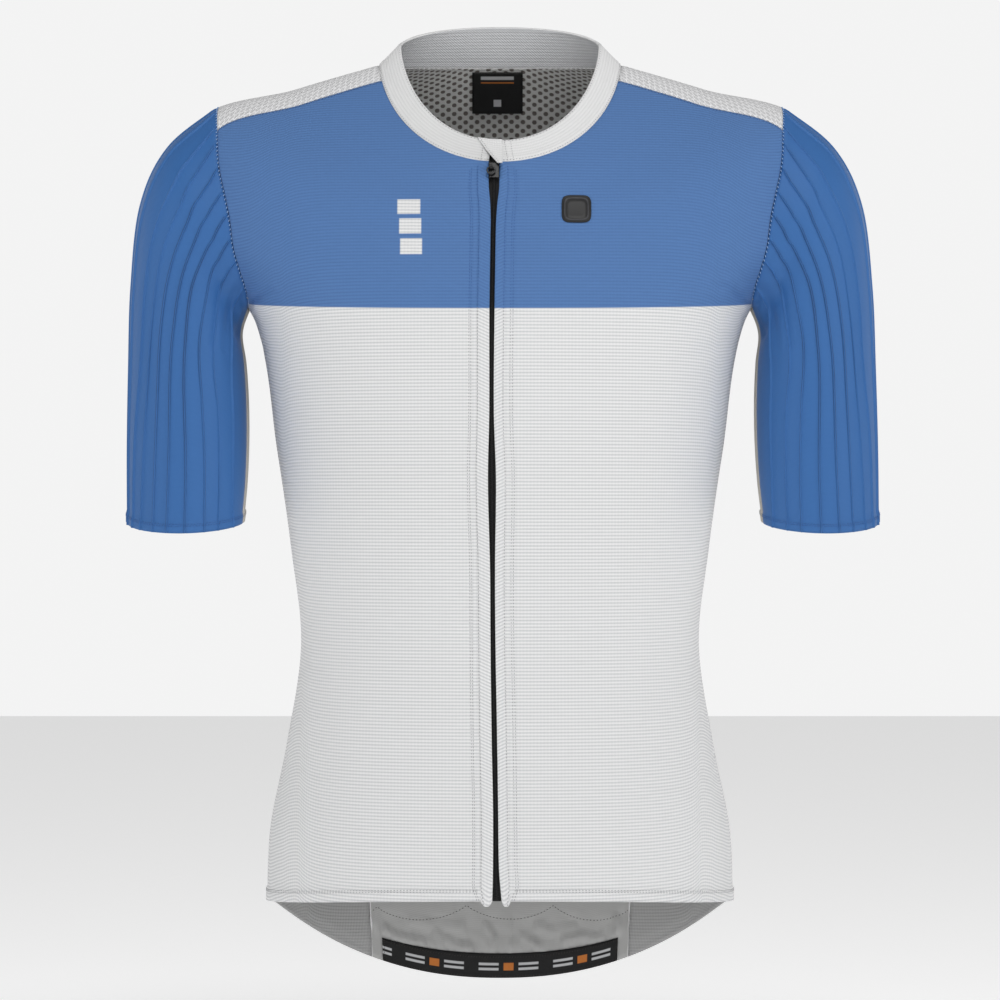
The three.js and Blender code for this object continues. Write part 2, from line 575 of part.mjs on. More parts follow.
// The back, with the strips that wrap forward over the shoulders. Its rows run from side to side. Above the
// armhole's foot they rise towards the middle, so that they fan out from the top of the shoulder.
const shoulderSeam = rowOfSpots(neckCorner, shoulderEnd, trunk,
  [PLACKET_WIDTH - 0.4, PLACKET_WIDTH + 0.4], STEPS.frontAcross).reverse();
const backLeft = [
  ...backSeamRows,
  ...range(STEPS.armholeBack).slice(1).map((n) => armholeAt(BACK_COLUMN + n)),
  ...shoulderSeam.slice(1),
];
const fanShare = (n) => n <= STEPS.armholeBack
  ? (BACK_FAN * n) / STEPS.armholeBack
  : BACK_FAN + ((1 - BACK_FAN) * (n - STEPS.armholeBack)) / (shoulderSeam.length - 1);
const back = panel(backLeft.map(([angle, level], i) => {
  const fan = i > LOW ? fanShare(i - LOW) : 0;
  const middle = fan > 0 ? backLeft[LOW][1] + (NECK_LEVEL - backLeft[LOW][1]) * fan : level;
  return range(STEPS.backAcross).map((j) => {
    const across = j / STEPS.backAcross;
    const rise = 1 - Math.abs(1 - 2 * across) ** 3;
    return [angle + (360 - 2 * angle) * across, level + (middle - level) * rise];
  });
}));
const BACK_COLUMNS = STEPS.backAcross;
for (const [j, side] of [[0, 1], [BACK_COLUMNS, -1]]) {
  mitreEdge(back, range(STEPS.armholeBack).map((n) => [LOW + n, j, BACK_COLUMN + n, side]));
}
mitreNeck(back, range(BACK_COLUMNS).map((j) => [backLeft.length - 1, j,
  SHOULDER_SEAM_ANGLE + (360 - 2 * SHOULDER_SEAM_ANGLE) * (j / BACK_COLUMNS)]));
addPiece("back", wall(back.base, back.inner), MATERIALS.mesh);

// Three rear pockets in one panel, stitched down at its sides, foot and two lines between
const bulge = (i, j) => {
  const third = (((j - 1) / (BACK_COLUMNS - 2)) * 3) % 1;
  const rise = Math.min(1, i / 3);
  return SEAM + POCKET.bulge * Math.sin(third * Math.PI) ** 0.8 * rise;
};
const pocketGrid = (grid) => part(grid, 0, POCKET.rows, 1, BACK_COLUMNS - 1);
const pocketInner = pocketGrid(shift(back.base, back.normals, bulge));
const pocketOuter = pocketGrid(shift(back.base, back.normals, (i, j) => {
  const binding = i >= POCKET.rows - 1 ? 0.6 : 0;
  return bulge(i, j) + CLOTH + binding;
}));
addPiece("pockets", wall(pocketOuter, pocketInner), MATERIALS.knit);

// Gripper elastic inside the back hem
const elastic = (depth) => part(shift(back.base, back.normals, -depth), 0, 3, 1, BACK_COLUMNS - 1);
addPiece("gripper", wall(elastic(CLOTH + SEAM), elastic(CLOTH + SEAM + STRIP)), MATERIALS.black);

// Collar
const behindNeck = range(STEPS.backAcross).slice(1, -1);
const footAngles = [
  ...necklines.left,
  ...behindNeck.map((j) => SHOULDER_SEAM_ANGLE + (360 - 2 * SHOULDER_SEAM_ANGLE) * (j / STEPS.backAcross)),
  ...[...necklines.right].reverse().map((angle) => 360 - angle),
];
const collarEnd = (side) => {
  const x = side * ZIP.at(-1).line + COLLAR_TOP_GAP / 2;
  return (Math.sign(x) * Math.asin((Math.abs(x) / COLLAR_TOP.width) ** (COLLAR_TOP.square / 2))) / DEG;
};
const ends = { start: collarEnd(1) - footAngles[0], end: 360 - collarEnd(-1) - footAngles.at(-1) };
const topAngles = footAngles.map((angle) => {
  const nearStart = Math.max(0, 1 - (angle - footAngles[0]) / SHOULDER_SEAM_ANGLE);
  const nearEnd = Math.max(0, 1 - (footAngles.at(-1) - angle) / SHOULDER_SEAM_ANGLE);
  return angle + ends.start * nearStart + ends.end * nearEnd;
});
const collarSpots = range(STEPS.collarUp).map((i) =>
  footAngles.map((angle, j) => mix([angle, 0], [topAngles[j], 1], i / STEPS.collarUp)));
const collarNormals = collarSpots.map((row) => row.map(collarNormal));
const collarPoints = collarSpots.map((row) => row.map(collar));
const neckJoins = footAngles.map(neckJoin);
collarPoints[0] = neckJoins.map((each) => each.outer);
const collarOuter = pullEdges(collarPoints, collarNormals, { left: 1, right: 1 });
const collarInner = shift(collarOuter, collarNormals, -COLLAR_CLOTH);
collarInner[0] = collarOuter[0].map((p, j) => add(p, neckJoins[j].joinedIn, COLLAR_CLOTH));
addPiece("collar", wall(collarOuter, collarInner), MATERIALS.collar);

// Zip tape with its closed coil. It lies behind the fronts' edges and the collar's ends, and each row is
// made from their points: past both folded edges, at both edges, and at the coil's feet and corners.
function tapeRow(leftPoints, rightPoints, normal, behind, rise) {
  const middle = mix(leftPoints[1], rightPoints[1], 0.5);
  const across = unit(sub(leftPoints[1], rightPoints[1]));
  const coil = [COIL / 2 + 0.4, COIL / 2, -COIL / 2, -COIL / 2 - 0.4].map((x) => add(middle, across, x));
  const points = [...leftPoints, ...coil, ...[...rightPoints].reverse()];
  return points.map((point, j) => ({
    outer: add(point, normal(j, points.length), -behind - SEAM + (j === 3 || j === 4 ? rise : 0)),
    inner: add(point, normal(j, points.length), -behind - SEAM - STRIP),
  }));
}
const rightBase = flipGrid(fronts.right.base, -1);
const rightNormals = flipGrid(fronts.right.normals, -1);
const tapeRows = zipLevels.map((level, i) => {
  const top = i === zipLevels.length - 1;
  const normal = (j, count) => {
    const edge = j < count / 2 ? fronts.left.normals[i][0] : rightNormals[i][0];
    const outermost = j === 0 ? fronts.left.normals[i][2] : j === count - 1 ? rightNormals[i][2] : edge;
    return top ? unit(add(outermost, collarNormals[0][0])) : outermost;
  };
  const left = [fronts.left.base[i][2], fronts.left.base[i][0]];
  const right = [rightBase[i][2], rightBase[i][0]];
  return tapeRow(left, right, normal, top ? COLLAR_CLOTH : CLOTH, CLOTH + 0.2);
});
const lastColumn = footAngles.length - 1;
for (const [i, share] of [[1, 1], [2, 1], [2, 0.3]]) {
  const at = (j) => mix(collarOuter[i + 1][j], collarOuter[i][j], share);
  const beside = (from, to) => add(at(from), unit(sub(at(to), at(from))), PLACKET_WIDTH);
  const normal = (j, count) => mix(collarNormals[i + 1][j < count / 2 ? 0 : lastColumn],
    collarNormals[i][j < count / 2 ? 0 : lastColumn], share);
  tapeRows.push(tapeRow([beside(0, 1), at(0)], [beside(lastColumn, lastColumn - 1), at(lastColumn)],
    normal, COLLAR_CLOTH, 0.2));
}
const tape = (face) => tapeRows.map((row) => row.map((point) => point[face]));
addPiece("zip", wall(tape("outer"), tape("inner")), MATERIALS.black);

// Label inside the back of the neck, sewn in at the collar seam
const labelHalf = LABEL.width / 2;
const labelSpots = range(4).map((i) => range(6).map((j) => {
  const level = NECK_LEVEL - 0.09 - (i / 4) * LABEL.levels;
  const ring = trunkRing(level);
  const x = LABEL.x + labelHalf - (j / 6) * LABEL.width;
  const angle = Math.asin((Math.abs(x) / ring.width) ** (ring.square / 2)) / DEG;
  return [180 - Math.sign(x) * angle, level];
}));
const labelPoints = labelSpots.map((row) => row.map(trunk));
const labelNormals = labelSpots.map((row) => row.map(trunkNormal));
addPiece("neck_label", wall(
  shift(labelPoints, labelNormals, -CLOTH - 1),
  shift(labelPoints, labelNormals, -CLOTH - 1 - 0.6),
), MATERIALS.black);

// Zip slider: a plate with a lug whose hole holds the pull ring
const wasm = await Module();
wasm.setup();

function toSolid(geometry) {
  const bare = geometry.clone();
  bare.deleteAttribute("normal");
  bare.deleteAttribute("uv");
  const merged = mergeVertices(bare, 1e-5);
  return new wasm.Manifold(new wasm.Mesh({
    numProp: 3,
    vertProperties: new Float32Array(merged.attributes.position.array),
    triVerts: new Uint32Array(merged.index.array),
  }));
}

function fromSolid(solid) {
  const mesh = solid.getMesh();
  const corner = (k) => range(2).map((n) => mesh.vertProperties[mesh.triVerts[k] * mesh.numProp + n]);
  const faces = range(mesh.triVerts.length / 3 - 1).map((t) => [corner(3 * t), corner(3 * t + 1), corner(3 * t + 2)]);
  return closedGeometry(faces);
}

const sliderSpot = (() => {
  const levels = range(600).map((k) => ZIP_AT_ARMPIT + ((NECK_LEVEL - ZIP_AT_ARMPIT) * k) / 600);
  const level = levels.find((each) => trunkRing(each).zFront >= SLIDER.z);
  return frontSpot(zipLine(level), level);
})();
const sliderOut = trunkNormal(sliderSpot);
const sliderLean = Math.atan2(sliderOut[2], -sliderOut[1]);
const sliderAt = add(trunk(sliderSpot), sliderOut, SLIDER.clear);
const onSlider = (geometry) => geometry.rotateX(-sliderLean).translate(...sliderAt);
const lugAt = [SLIDER.lugX, -SLIDER.thickness - SLIDER.lugOut, SLIDER.lugZ];
const barrel = (radius, width) =>
  toSolid(new THREE.CylinderGeometry(radius, radius, width, 20).rotateZ(Math.PI / 2).translate(...lugAt));
const plate = toSolid(new THREE.BoxGeometry(SLIDER.width, SLIDER.thickness, SLIDER.height)
  .translate(0, -SLIDER.thickness / 2, 0));
const stem = toSolid(new THREE.BoxGeometry(SLIDER.lugWidth, SLIDER.lugOut + 0.5, SLIDER.lugRadius * 1.6)
  .translate(SLIDER.lugX, -SLIDER.thickness - SLIDER.lugOut / 2 + 0.25, SLIDER.lugZ));
const lug = barrel(SLIDER.lugRadius, SLIDER.lugWidth);
const hole = barrel(SLIDER.holeRadius, SLIDER.lugWidth + 2);
const slider = plate.add(stem).add(lug).subtract(hole);
addPiece("slider", onSlider(fromSolid(slider)), MATERIALS.slider);

// Pull ring, hanging through the lug
const ring = new THREE.TorusGeometry(PULL.radius, PULL.wire, 10, 28);
ring.deleteAttribute("normal");
ring.deleteAttribute("uv");
ring.rotateX(Math.PI / 2);
ring.translate(lugAt[0], lugAt[1], lugAt[2] - PULL.radius);
const ringGeometry = mergeVertices(ring, 1e-4);
onSlider(ringGeometry);
ringGeometry.computeVertexNormals();
addPiece("pull", ringGeometry, MATERIALS.slider);

// Flap over the top of the zip, folded forward from the wearer's right end of the collar
const flapRows = range(GARAGE.steps).map((i) => {
  const down = i / GARAGE.steps;
  const lift = SEAM + GARAGE.lift * down ** 1.4;
  const width = GARAGE.width * (1 - down) + GARAGE.tip * down;
  return range(3).map((j) => {
    const x = GARAGE.edgeX - width * (j / 3);
    const share = 0.97 - down * GARAGE.reach;
    const ringWidth = TRUNK[NECK_LEVEL].width + (COLLAR_TOP.width - TRUNK[NECK_LEVEL].width) * share;
    const spot = [Math.asin(x / ringWidth) / DEG, share];
    return [collar(spot), collarNormal(spot), lift];
  });
});
const flap = (thick) => flapRows.map((row) => row.map(([p, n, lift]) => add(p, n, lift + thick)));
addPiece("zip_garage", wall(flap(STRIP), flap(0)), MATERIALS.collar);

export default jersey;
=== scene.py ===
# %% [markdown]
# # A short-sleeved cycling jersey
#
# The jersey stands filled out, as if worn, with nobody in it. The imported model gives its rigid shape.
# This script rebuilds each cut piece of cloth on the same surfaces, finely enough for folds and ribs, and
# adds what the solids leave out: threads, zip teeth, knit and print. Lengths are worked out in
# millimetres, and one factor turns them to Blender's metres at the end.

# %% Frame
import math

import bmesh
import bpy
import numpy as np
from mathutils import Matrix, Vector


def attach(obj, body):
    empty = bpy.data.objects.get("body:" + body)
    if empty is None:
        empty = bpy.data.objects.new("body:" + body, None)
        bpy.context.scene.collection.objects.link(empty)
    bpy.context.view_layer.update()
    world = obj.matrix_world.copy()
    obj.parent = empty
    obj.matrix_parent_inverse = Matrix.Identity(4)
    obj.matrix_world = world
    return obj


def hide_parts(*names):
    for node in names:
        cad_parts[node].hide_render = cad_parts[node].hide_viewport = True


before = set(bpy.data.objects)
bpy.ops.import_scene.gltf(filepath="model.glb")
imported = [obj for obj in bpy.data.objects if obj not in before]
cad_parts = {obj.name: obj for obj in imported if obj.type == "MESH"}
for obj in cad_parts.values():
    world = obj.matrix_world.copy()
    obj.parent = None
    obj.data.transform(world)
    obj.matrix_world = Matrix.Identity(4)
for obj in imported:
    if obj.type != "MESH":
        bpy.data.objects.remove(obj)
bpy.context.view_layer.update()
MM = 0.001
print("CAD nodes:", len(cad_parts))

# %% [markdown]
# ## Camera and stage
#
# The photograph was taken straight from the front with a long lens, level with the middle of the
# garment. A level camera keeps the sides parallel, so none of them leans.

# %% Camera
CAMERA_DISTANCE = 3.3
CAMERA_HEIGHT = -0.3092
FRAME_WIDTH = 0.773
SENSOR = 36

camera = bpy.data.objects.new("camera", bpy.data.cameras.new("camera"))
bpy.context.scene.collection.objects.link(camera)
camera.data.sensor_width = SENSOR
camera.data.lens = SENSOR * CAMERA_DISTANCE / FRAME_WIDTH
camera.location = (0, -CAMERA_DISTANCE, CAMERA_HEIGHT)
camera.rotation_euler = (math.radians(90), 0, 0)
bpy.context.scene.camera = camera
print("lens:", round(camera.data.lens, 1), "mm")

# %% [markdown]
# ## The surfaces
#
# Cloth over a body is easiest to describe by rings. Each row below is a ring round the trunk, from the
# hem to the neck: half width, depth in front, depth behind, the heights of its front, side and back,
# how square it is, and how softly its height changes. A smooth curve through the rows gives every ring
# between them, and an angle picks a point on a ring, 0 at the centre front and 180 at the centre back.

# %% Trunk rings
RINGS = np.array([
    (180, 112, 122, -609, -617, -692, 2.2, 1.5),
    (177, 112, 121, -556, -560, -600, 2.2, 1.2),
    (164.5, 106, 107, -494, -497, -512, 2.2, 0.9),
    (153.5, 101, 93, -421, -421, -424, 2.2, 0.9),
    (161, 106, 98, -345, -348, -345, 2.2, 0.9),
    (172, 115, 110, -268, -271, -265, 2.2, 0.9),
    (189, 118, 118, -195, -171, -178, 2.2, 0.9),
    (238, 112, 113, -143, -95, -97, 2.0, 0.7),
    (232, 101, 96, -103, -16, -34, 2.0, 0.45),
    (158, 92, 77, -76, 8, 4, 2.1, 0.3),
    (93.5, 84, 60, -54, 27, 31, 2.1, 0.15),
])
COLLAR_TOP = np.array((77, 71, 51, -36.5, 44, 62, 2.1, 0.12))
NECK = len(RINGS) - 1


def smooth(values, t):
    """A smooth curve through values that are one step apart, read t steps from the first."""
    values = np.asarray(values, float)
    t = np.asarray(t, float)
    ends = [2 * values[:1] - values[1:2], values, 2 * values[-1:] - values[-2:-1]]
    padded = np.concatenate(ends)
    i = np.clip(np.floor(t).astype(int), 0, len(values) - 2)
    f = (t - i).reshape(t.shape + (1,) * (values.ndim - 1))
    a, b, c, d = (padded[i + k] for k in range(4))
    return b + 0.5 * f * (c - a + f * (2 * a - 5 * b + 4 * c - d + f * (3 * (b - c) + d - a)))


def on_ring(ring, angle):
    """Points on rings at angles."""
    sine, cosine = np.sin(np.radians(angle)), np.cos(np.radians(angle))
    power = 2 / ring[..., 6]
    across = np.sign(sine) * np.abs(sine) ** power
    deep = np.abs(cosine) ** power
    tilt = ring[..., 7]
    slope = (np.hypot(deep, tilt) - tilt) / (np.hypot(1, tilt) - tilt)
    depth = np.where(cosine > 0, -ring[..., 1], ring[..., 2])
    end = np.where(cosine > 0, ring[..., 3], ring[..., 5])
    side = ring[..., 4]
    return np.stack([ring[..., 0] * across, depth * deep, side + (end - side) * slope], -1)


def trunk(spots):
    """Points of the trunk at spots, each an angle and a level between rings."""
    return on_ring(smooth(RINGS, spots[..., 1]), spots[..., 0])


def collar(spots):
    """Points of the collar at spots, each an angle and a share of the way up the band."""
    foot = on_ring(RINGS[-1], spots[..., 0])
    top = on_ring(COLLAR_TOP, spots[..., 0])
    return foot + (top - foot) * spots[..., 1:]


def lengths(points, axis=0):
    """Distances along rows or columns of points, from the first."""
    steps = np.linalg.norm(np.diff(points, axis=axis), axis=-1)
    start = np.zeros_like(np.take(steps, [0], axis=axis))
    return np.cumsum(np.concatenate([start, steps], axis=axis), axis=axis)


def evenly(path, surface, steps):
    """Spots along a path, evenly spaced on the surface."""
    t = np.linspace(0, 1, 801)
    along = lengths(surface(path(t)))
    return path(np.interp(np.linspace(0, along[-1], steps + 1), along, t))


def line(start, end):
    """A straight path between two spots."""
    start, end = np.asarray(start, float), np.asarray(end, float)
    return lambda t: start + (end - start) * np.asarray(t)[..., None]


print("trunk rings:", len(RINGS))

# %% [markdown]
# ## The seams
#
# A garment is drawn by its seams, so they come before the panels. Two panels that are sewn together
# take their edges from the same curve and meet all along it, as they do on the real one.

# %% Seam curves
# Round the armhole, from the top of the shoulder down the front to the armpit and up the back
ARMHOLE = np.array([
    (90, 8.26), (71.5, 8.08), (61.5, 7.6), (58.5, 7.15), (62.5, 6.65), (74, 6.24),
    (90, 6.12), (106, 6.24), (117.5, 6.65), (121, 7.15), (118, 7.6), (107, 8.08),
])
SHOULDER_END, ARMPIT, BACK_SEAM_END, FULL_TURN = 1, 6, 9, 12
NECK_CORNER = (76, NECK)
BACK_SEAM = [(147.5, 0), (144.5, 1.5), (140.5, 3), (136.5, 5), (130, 6.2)]
# Down the zip: height, how far its line lies to the wearer's left, and the space between the fronts
ZIP = np.array([
    (-618, -2, 8), (-585, -3, 4.5), (-540, -3.3, 3.8), (-495, -4.1, 4.1), (-421, -5.2, 3.7),
    (-361, -5.6, 3.7), (-295, -6, 6), (-243, -6.3, 3.4), (-168, -6, 3.8), (-109, -5.2, 3.9),
    (-97, -4.9, 4.2), (-85, -4.6, 5.6), (-74, -4.5, 7.9), (-55, -4.5, 8.2),
])
ZIP_AT_ARMPIT = 6.35


def armhole(row):
    """Spots on the armhole seam, which goes round once in twelve rows."""
    around = np.concatenate([ARMHOLE[-2:], ARMHOLE, ARMHOLE[:3]])
    return smooth(around, np.mod(row, FULL_TURN) + 2)


def armhole_rows(start, end, steps):
    """Row numbers of points that are evenly spaced along the armhole seam."""
    path = lambda t: (start + (end - start) * t)[..., None]
    return evenly(path, lambda rows: trunk(armhole(rows[..., 0])), steps)[:, 0]


def back_seam(t):
    """Spots on the seam between the back and a side panel, from the hem up."""
    rows = np.array(BACK_SEAM + [tuple(armhole(np.array(BACK_SEAM_END)))])
    return smooth(rows, np.asarray(t) * (len(rows) - 1))


def front_spot(x, level):
    """Spots on the front at a distance x to the wearer's left of the middle."""
    ring = smooth(RINGS, level)
    sine = (np.abs(x) / ring[..., 0]) ** (ring[..., 6] / 2)
    return np.stack([np.sign(x) * np.degrees(np.arcsin(sine)), level + 0 * x], -1)


def zip_at(level, column):
    """A column of the zip's table at levels of the trunk."""
    height = smooth(RINGS[:, 3], level)
    return smooth(ZIP[:, column], np.interp(height, ZIP[:, 0], np.arange(len(ZIP))))


def side_seam(t):
    """Spots on the side seam, from the hem to the armpit."""
    return line((90, 0), armhole(np.array(ARMPIT)))(t)


print("armhole seam:", round(float(lengths(trunk(armhole(np.linspace(0, 12, 400))))[-1])), "mm")

# %% [markdown]
# ## Finishes
#
# A fabric's look comes from three things: its colour, its relief, and how softly it scatters light.
# Each pattern below has its real pitch in millimetres and reads the piece's own flat map, so it runs
# with the cloth. Polyester knit is a dielectric with a rough surface, and a little sheen stands for its
# fine fibres. A colour is written as it would be picked on a screen, and one function makes it linear.

# %% Node helper
FLAT_MAP = "flat"


def linear(code):
    """A colour in linear light from its screen hex code."""
    parts = [int(code[k:k + 2], 16) / 255 for k in (1, 3, 5)]
    return tuple([p / 12.92 if p <= 0.04045 else ((p + 0.055) / 1.055) ** 2.4 for p in parts] + [1])


def add_node(tree, kind, inputs=(), **settings):
    """Adds a shader node. inputs pairs its sockets with values, or with nodes or sockets to link from."""
    node = tree.nodes.new("ShaderNode" + kind)
    for name, value in settings.items():
        setattr(node, name, value)
    for key, value in (inputs.items() if isinstance(inputs, dict) else enumerate(inputs)):
        if isinstance(value, bpy.types.Node):
            value = value.outputs[0]
        if isinstance(value, bpy.types.NodeSocket):
            tree.links.new(value, node.inputs[key])
        else:
            node.inputs[key].default_value = value
    return node


def new_material(name, roughness, sheen=0.0, **sockets):
    """A material with a Principled shader, whose even values are set on its own sockets."""
    material = bpy.data.materials.new(name)
    material.use_nodes = True
    tree = material.node_tree
    tree.nodes.clear()
    values = {"Roughness": roughness, "Sheen Weight": sheen, "Sheen Roughness": 0.4, **sockets}
    shader = add_node(tree, "BsdfPrincipled", values)
    add_node(tree, "OutputMaterial", {"Surface": shader})
    return material, tree, shader


def flat_place(tree):
    """The across and along places on the flat cloth, in millimetres."""
    place = add_node(tree, "SeparateXYZ", [add_node(tree, "UVMap", uv_map=FLAT_MAP)])
    return place.outputs[0], place.outputs[1]


def waves(tree, place, pitch, sharpness=1.0):
    """Even waves from 0 to 1 with a pitch in millimetres. A higher sharpness narrows the tops."""
    angle = add_node(tree, "Math", (place, 2 * math.pi / pitch), operation="MULTIPLY")
    wave = add_node(tree, "Math", [angle], operation="SINE")
    half = add_node(tree, "Math", (wave, 0.5, 0.5), operation="MULTIPLY_ADD")
    return add_node(tree, "Math", (half, sharpness), operation="POWER")


def blotches(tree, size):
    """Soft uneven colour, with patches of about the given size in millimetres."""
    place = add_node(tree, "TexCoord").outputs["Object"]
    return add_node(tree, "TexNoise", {"Vector": place, "Scale": 1000 / size, "Detail": 2.0})


def tinted(tree, low, high, factor):
    """A colour between two others."""
    return add_node(tree, "Mix", {0: factor, 6: low, 7: high}, data_type="RGBA").outputs[2]


def relief(tree, shader, height, depth):
    """Turns a height from 0 to 1 into bumps that are depth millimetres deep."""
    bump = add_node(tree, "Bump", {"Height": height, "Distance": depth * MM, "Strength": 1.0})
    tree.links.new(bump.outputs[0], shader.inputs["Normal"])


# %% [markdown]
# ### Micro-ribbed knit
#
# The fronts are a light polyester knit with a waffle relief. Fine ribs run across it about 2.55 mm
# apart, and columns of tucked loops cross them at 2.6 mm. The grooves between them are drawn darker, as
# painted shade. Its yoke is dyed blue by sublimation, which colours the yarn and adds no thickness, so
# the print is only a change of colour at a height. The print doesn't reach the wrong side, which is
# drawn grey as painted shade inside the hollow garment.

# %% Knit of the fronts
RIB_PITCH = 2.55
LOOP_PITCH = 2.6
# The groove colours are darker than the tops: painted shade in the grooves of the knit.
WHITE, WHITE_GROOVE_SHADE = linear("#ececec"), linear("#c6c7c9")
BLUE, BLUE_GROOVE_SHADE = linear("#4f79b1"), linear("#476da3")
PRINT_HEIGHT, PRINT_SLOPE = -157 * MM, 0.078
ABOVE_ALL = 1.0
# Plain blocks left white in the yoke: left, right, bottom and top
MARKS = [(-77.1, -59.9, -94.4, -83.2), (-75.6, -59.1, -109.4, -97.8), (-74.8, -58.4, -125.1, -113.1)]


def between(tree, place, low, high, soft=0.0004):
    """1 where a place is between two values, with soft edges."""
    rise = add_node(tree, "MapRange", {0: place, 1: low - soft, 2: low + soft})
    fall = add_node(tree, "MapRange", {0: place, 1: high - soft, 2: high + soft, 3: 1.0, 4: 0.0})
    return add_node(tree, "Math", (rise, fall), operation="MULTIPLY")


def knit_height(tree, rib_pitch=RIB_PITCH, loop_pitch=LOOP_PITCH, loop_share=0.14):
    """Ribs across the cloth with the columns of loops that cross them, from 0 to 1."""
    across, along = flat_place(tree)
    ribs = waves(tree, along, rib_pitch, 0.7)
    loops = waves(tree, across, loop_pitch)
    both = add_node(tree, "Mix", {0: loop_share, 2: ribs, 3: loops}, data_type="FLOAT")
    return add_node(tree, "MapRange", {0: both, 1: 0.0, 2: 1.0})


def front_knit():
    """The knit of the fronts, with its blue yoke and the three bare marks in it."""
    material, tree, shader = new_material("front_polyester_microrib_knit", 0.75, 0.1)
    height = knit_height(tree)
    place = add_node(tree, "SeparateXYZ", [add_node(tree, "TexCoord").outputs["Object"]])
    x, y, z = place.outputs
    level = add_node(tree, "Math", (y, -PRINT_SLOPE, z), operation="MULTIPLY_ADD")
    yoke = between(tree, level, PRINT_HEIGHT, ABOVE_ALL)
    for x0, x1, z0, z1 in MARKS:
        inside_x = between(tree, x, x0 * MM, x1 * MM)
        inside_z = between(tree, z, z0 * MM, z1 * MM)
        mark = add_node(tree, "Math", (inside_x, inside_z), operation="MULTIPLY")
        yoke = add_node(tree, "Math", (yoke, mark), operation="SUBTRACT", use_clamp=True)
    # Darker in the grooves between ribs and loops: painted shade.
    white = tinted(tree, WHITE_GROOVE_SHADE, WHITE, height)
    blue = tinted(tree, BLUE_GROOVE_SHADE, BLUE, height)
    tree.links.new(tinted(tree, white, blue, yoke), shader.inputs["Base Color"])
    relief(tree, shader, height, 0.22)
    return material


def plain_knit(name, groove_shade, top, pitch, depth, roughness=0.75, loop_pitch=LOOP_PITCH, loop_share=0.3):
    """A knit of one colour, with ribs across it."""
    material, tree, shader = new_material(name, roughness, 0.1)
    height = knit_height(tree, pitch, loop_pitch, loop_share)
    # Darker in the grooves between ribs: painted shade.
    tree.links.new(tinted(tree, groove_shade, top, height), shader.inputs["Base Color"])
    relief(tree, shader, height, depth)
    return material


# %% [markdown]
# ### Eyelet mesh
#
# The back and the strips over the shoulders are an open knit for air. Its oval eyelets stand in
# staggered rows, 9.1 mm apart along a row and 3.9 mm from row to row. Each is a dent that is drawn
# darker than the yarn, as painted shade in the hole. The right side is paler, and the eyelets hardly
# show there; the wrong side is drawn darker, as painted shade inside the hollow garment. Below the
# small of the back the same piece is knitted closed, to carry the pockets.

# %% Mesh of the back
EYELET_PITCH, EYELET_ROW = 9.1, 3.9
CLOSED_BELOW, CLOSED_FADE = -0.43, 0.006


def eyelet_mesh(name, eyelet_shade, yarn, closed_yarn, depth, size):
    """An open knit with staggered eyelets drawn darker than its yarn, as painted shade in the holes, and a
    closed knit below. size is how wide and high one hole is."""
    material, tree, shader = new_material(name, 0.8, 0.05)
    across, along = flat_place(tree)
    row = add_node(tree, "Math", (along, EYELET_ROW), operation="DIVIDE")
    stagger = add_node(tree, "Math", (add_node(tree, "Math", [row], operation="FLOOR"), 0.5),
                       operation="MULTIPLY")
    column = add_node(tree, "Math", (across, 1 / EYELET_PITCH, stagger), operation="MULTIPLY_ADD")
    distance = []
    for place, pitch, span in ((column, EYELET_PITCH, size[0]), (row, EYELET_ROW, size[1])):
        cell = add_node(tree, "Math", [place], operation="FRACT")
        middle = add_node(tree, "Math", (cell, 0.5), operation="SUBTRACT")
        scaled = add_node(tree, "Math", (middle, 2 * pitch / span), operation="MULTIPLY")
        distance.append(add_node(tree, "Math", (scaled, 2.0), operation="POWER"))
    far = add_node(tree, "Math", distance, operation="ADD")
    open_knit = add_node(tree, "MapRange", {0: far, 1: 0.55, 2: 1.25})
    z = add_node(tree, "SeparateXYZ", [add_node(tree, "TexCoord").outputs["Object"]]).outputs[2]
    fade = {0: z, 1: CLOSED_BELOW, 2: CLOSED_BELOW + CLOSED_FADE, 3: 1.0, 4: 0.0}
    closed = add_node(tree, "MapRange", fade)
    height = add_node(tree, "Math", (open_knit, closed), operation="MAXIMUM")
    fine = waves(tree, along, 1.5)
    speckle = add_node(tree, "Math", (fine, 0.12, height), operation="MULTIPLY_ADD")
    # Eyelets darker than the yarn: painted shade in the holes.
    open_colour = tinted(tree, eyelet_shade, yarn, open_knit)
    tree.links.new(tinted(tree, open_colour, closed_yarn, closed), shader.inputs["Base Color"])
    relief(tree, shader, speckle, depth)
    return material


# %% Woven and metal finishes
def woven(name, dark, light, pitch, depth, roughness):
    """A plain weave, whose threads cross at one pitch."""
    material, tree, shader = new_material(name, roughness)
    across, along = flat_place(tree)
    height = add_node(tree, "Math", (waves(tree, across, pitch), waves(tree, along, pitch)),
                      operation="MULTIPLY")
    # Darker in the gaps between threads: painted shade.
    tree.links.new(tinted(tree, dark, light, height), shader.inputs["Base Color"])
    relief(tree, shader, height, depth)
    return material


def even_finish(name, low, high, size, roughness, **sockets):
    """A finish without a weave, slightly uneven in colour."""
    material, tree, shader = new_material(name, roughness, **sockets)
    tree.links.new(tinted(tree, low, high, blotches(tree, size)), shader.inputs["Base Color"])
    return material


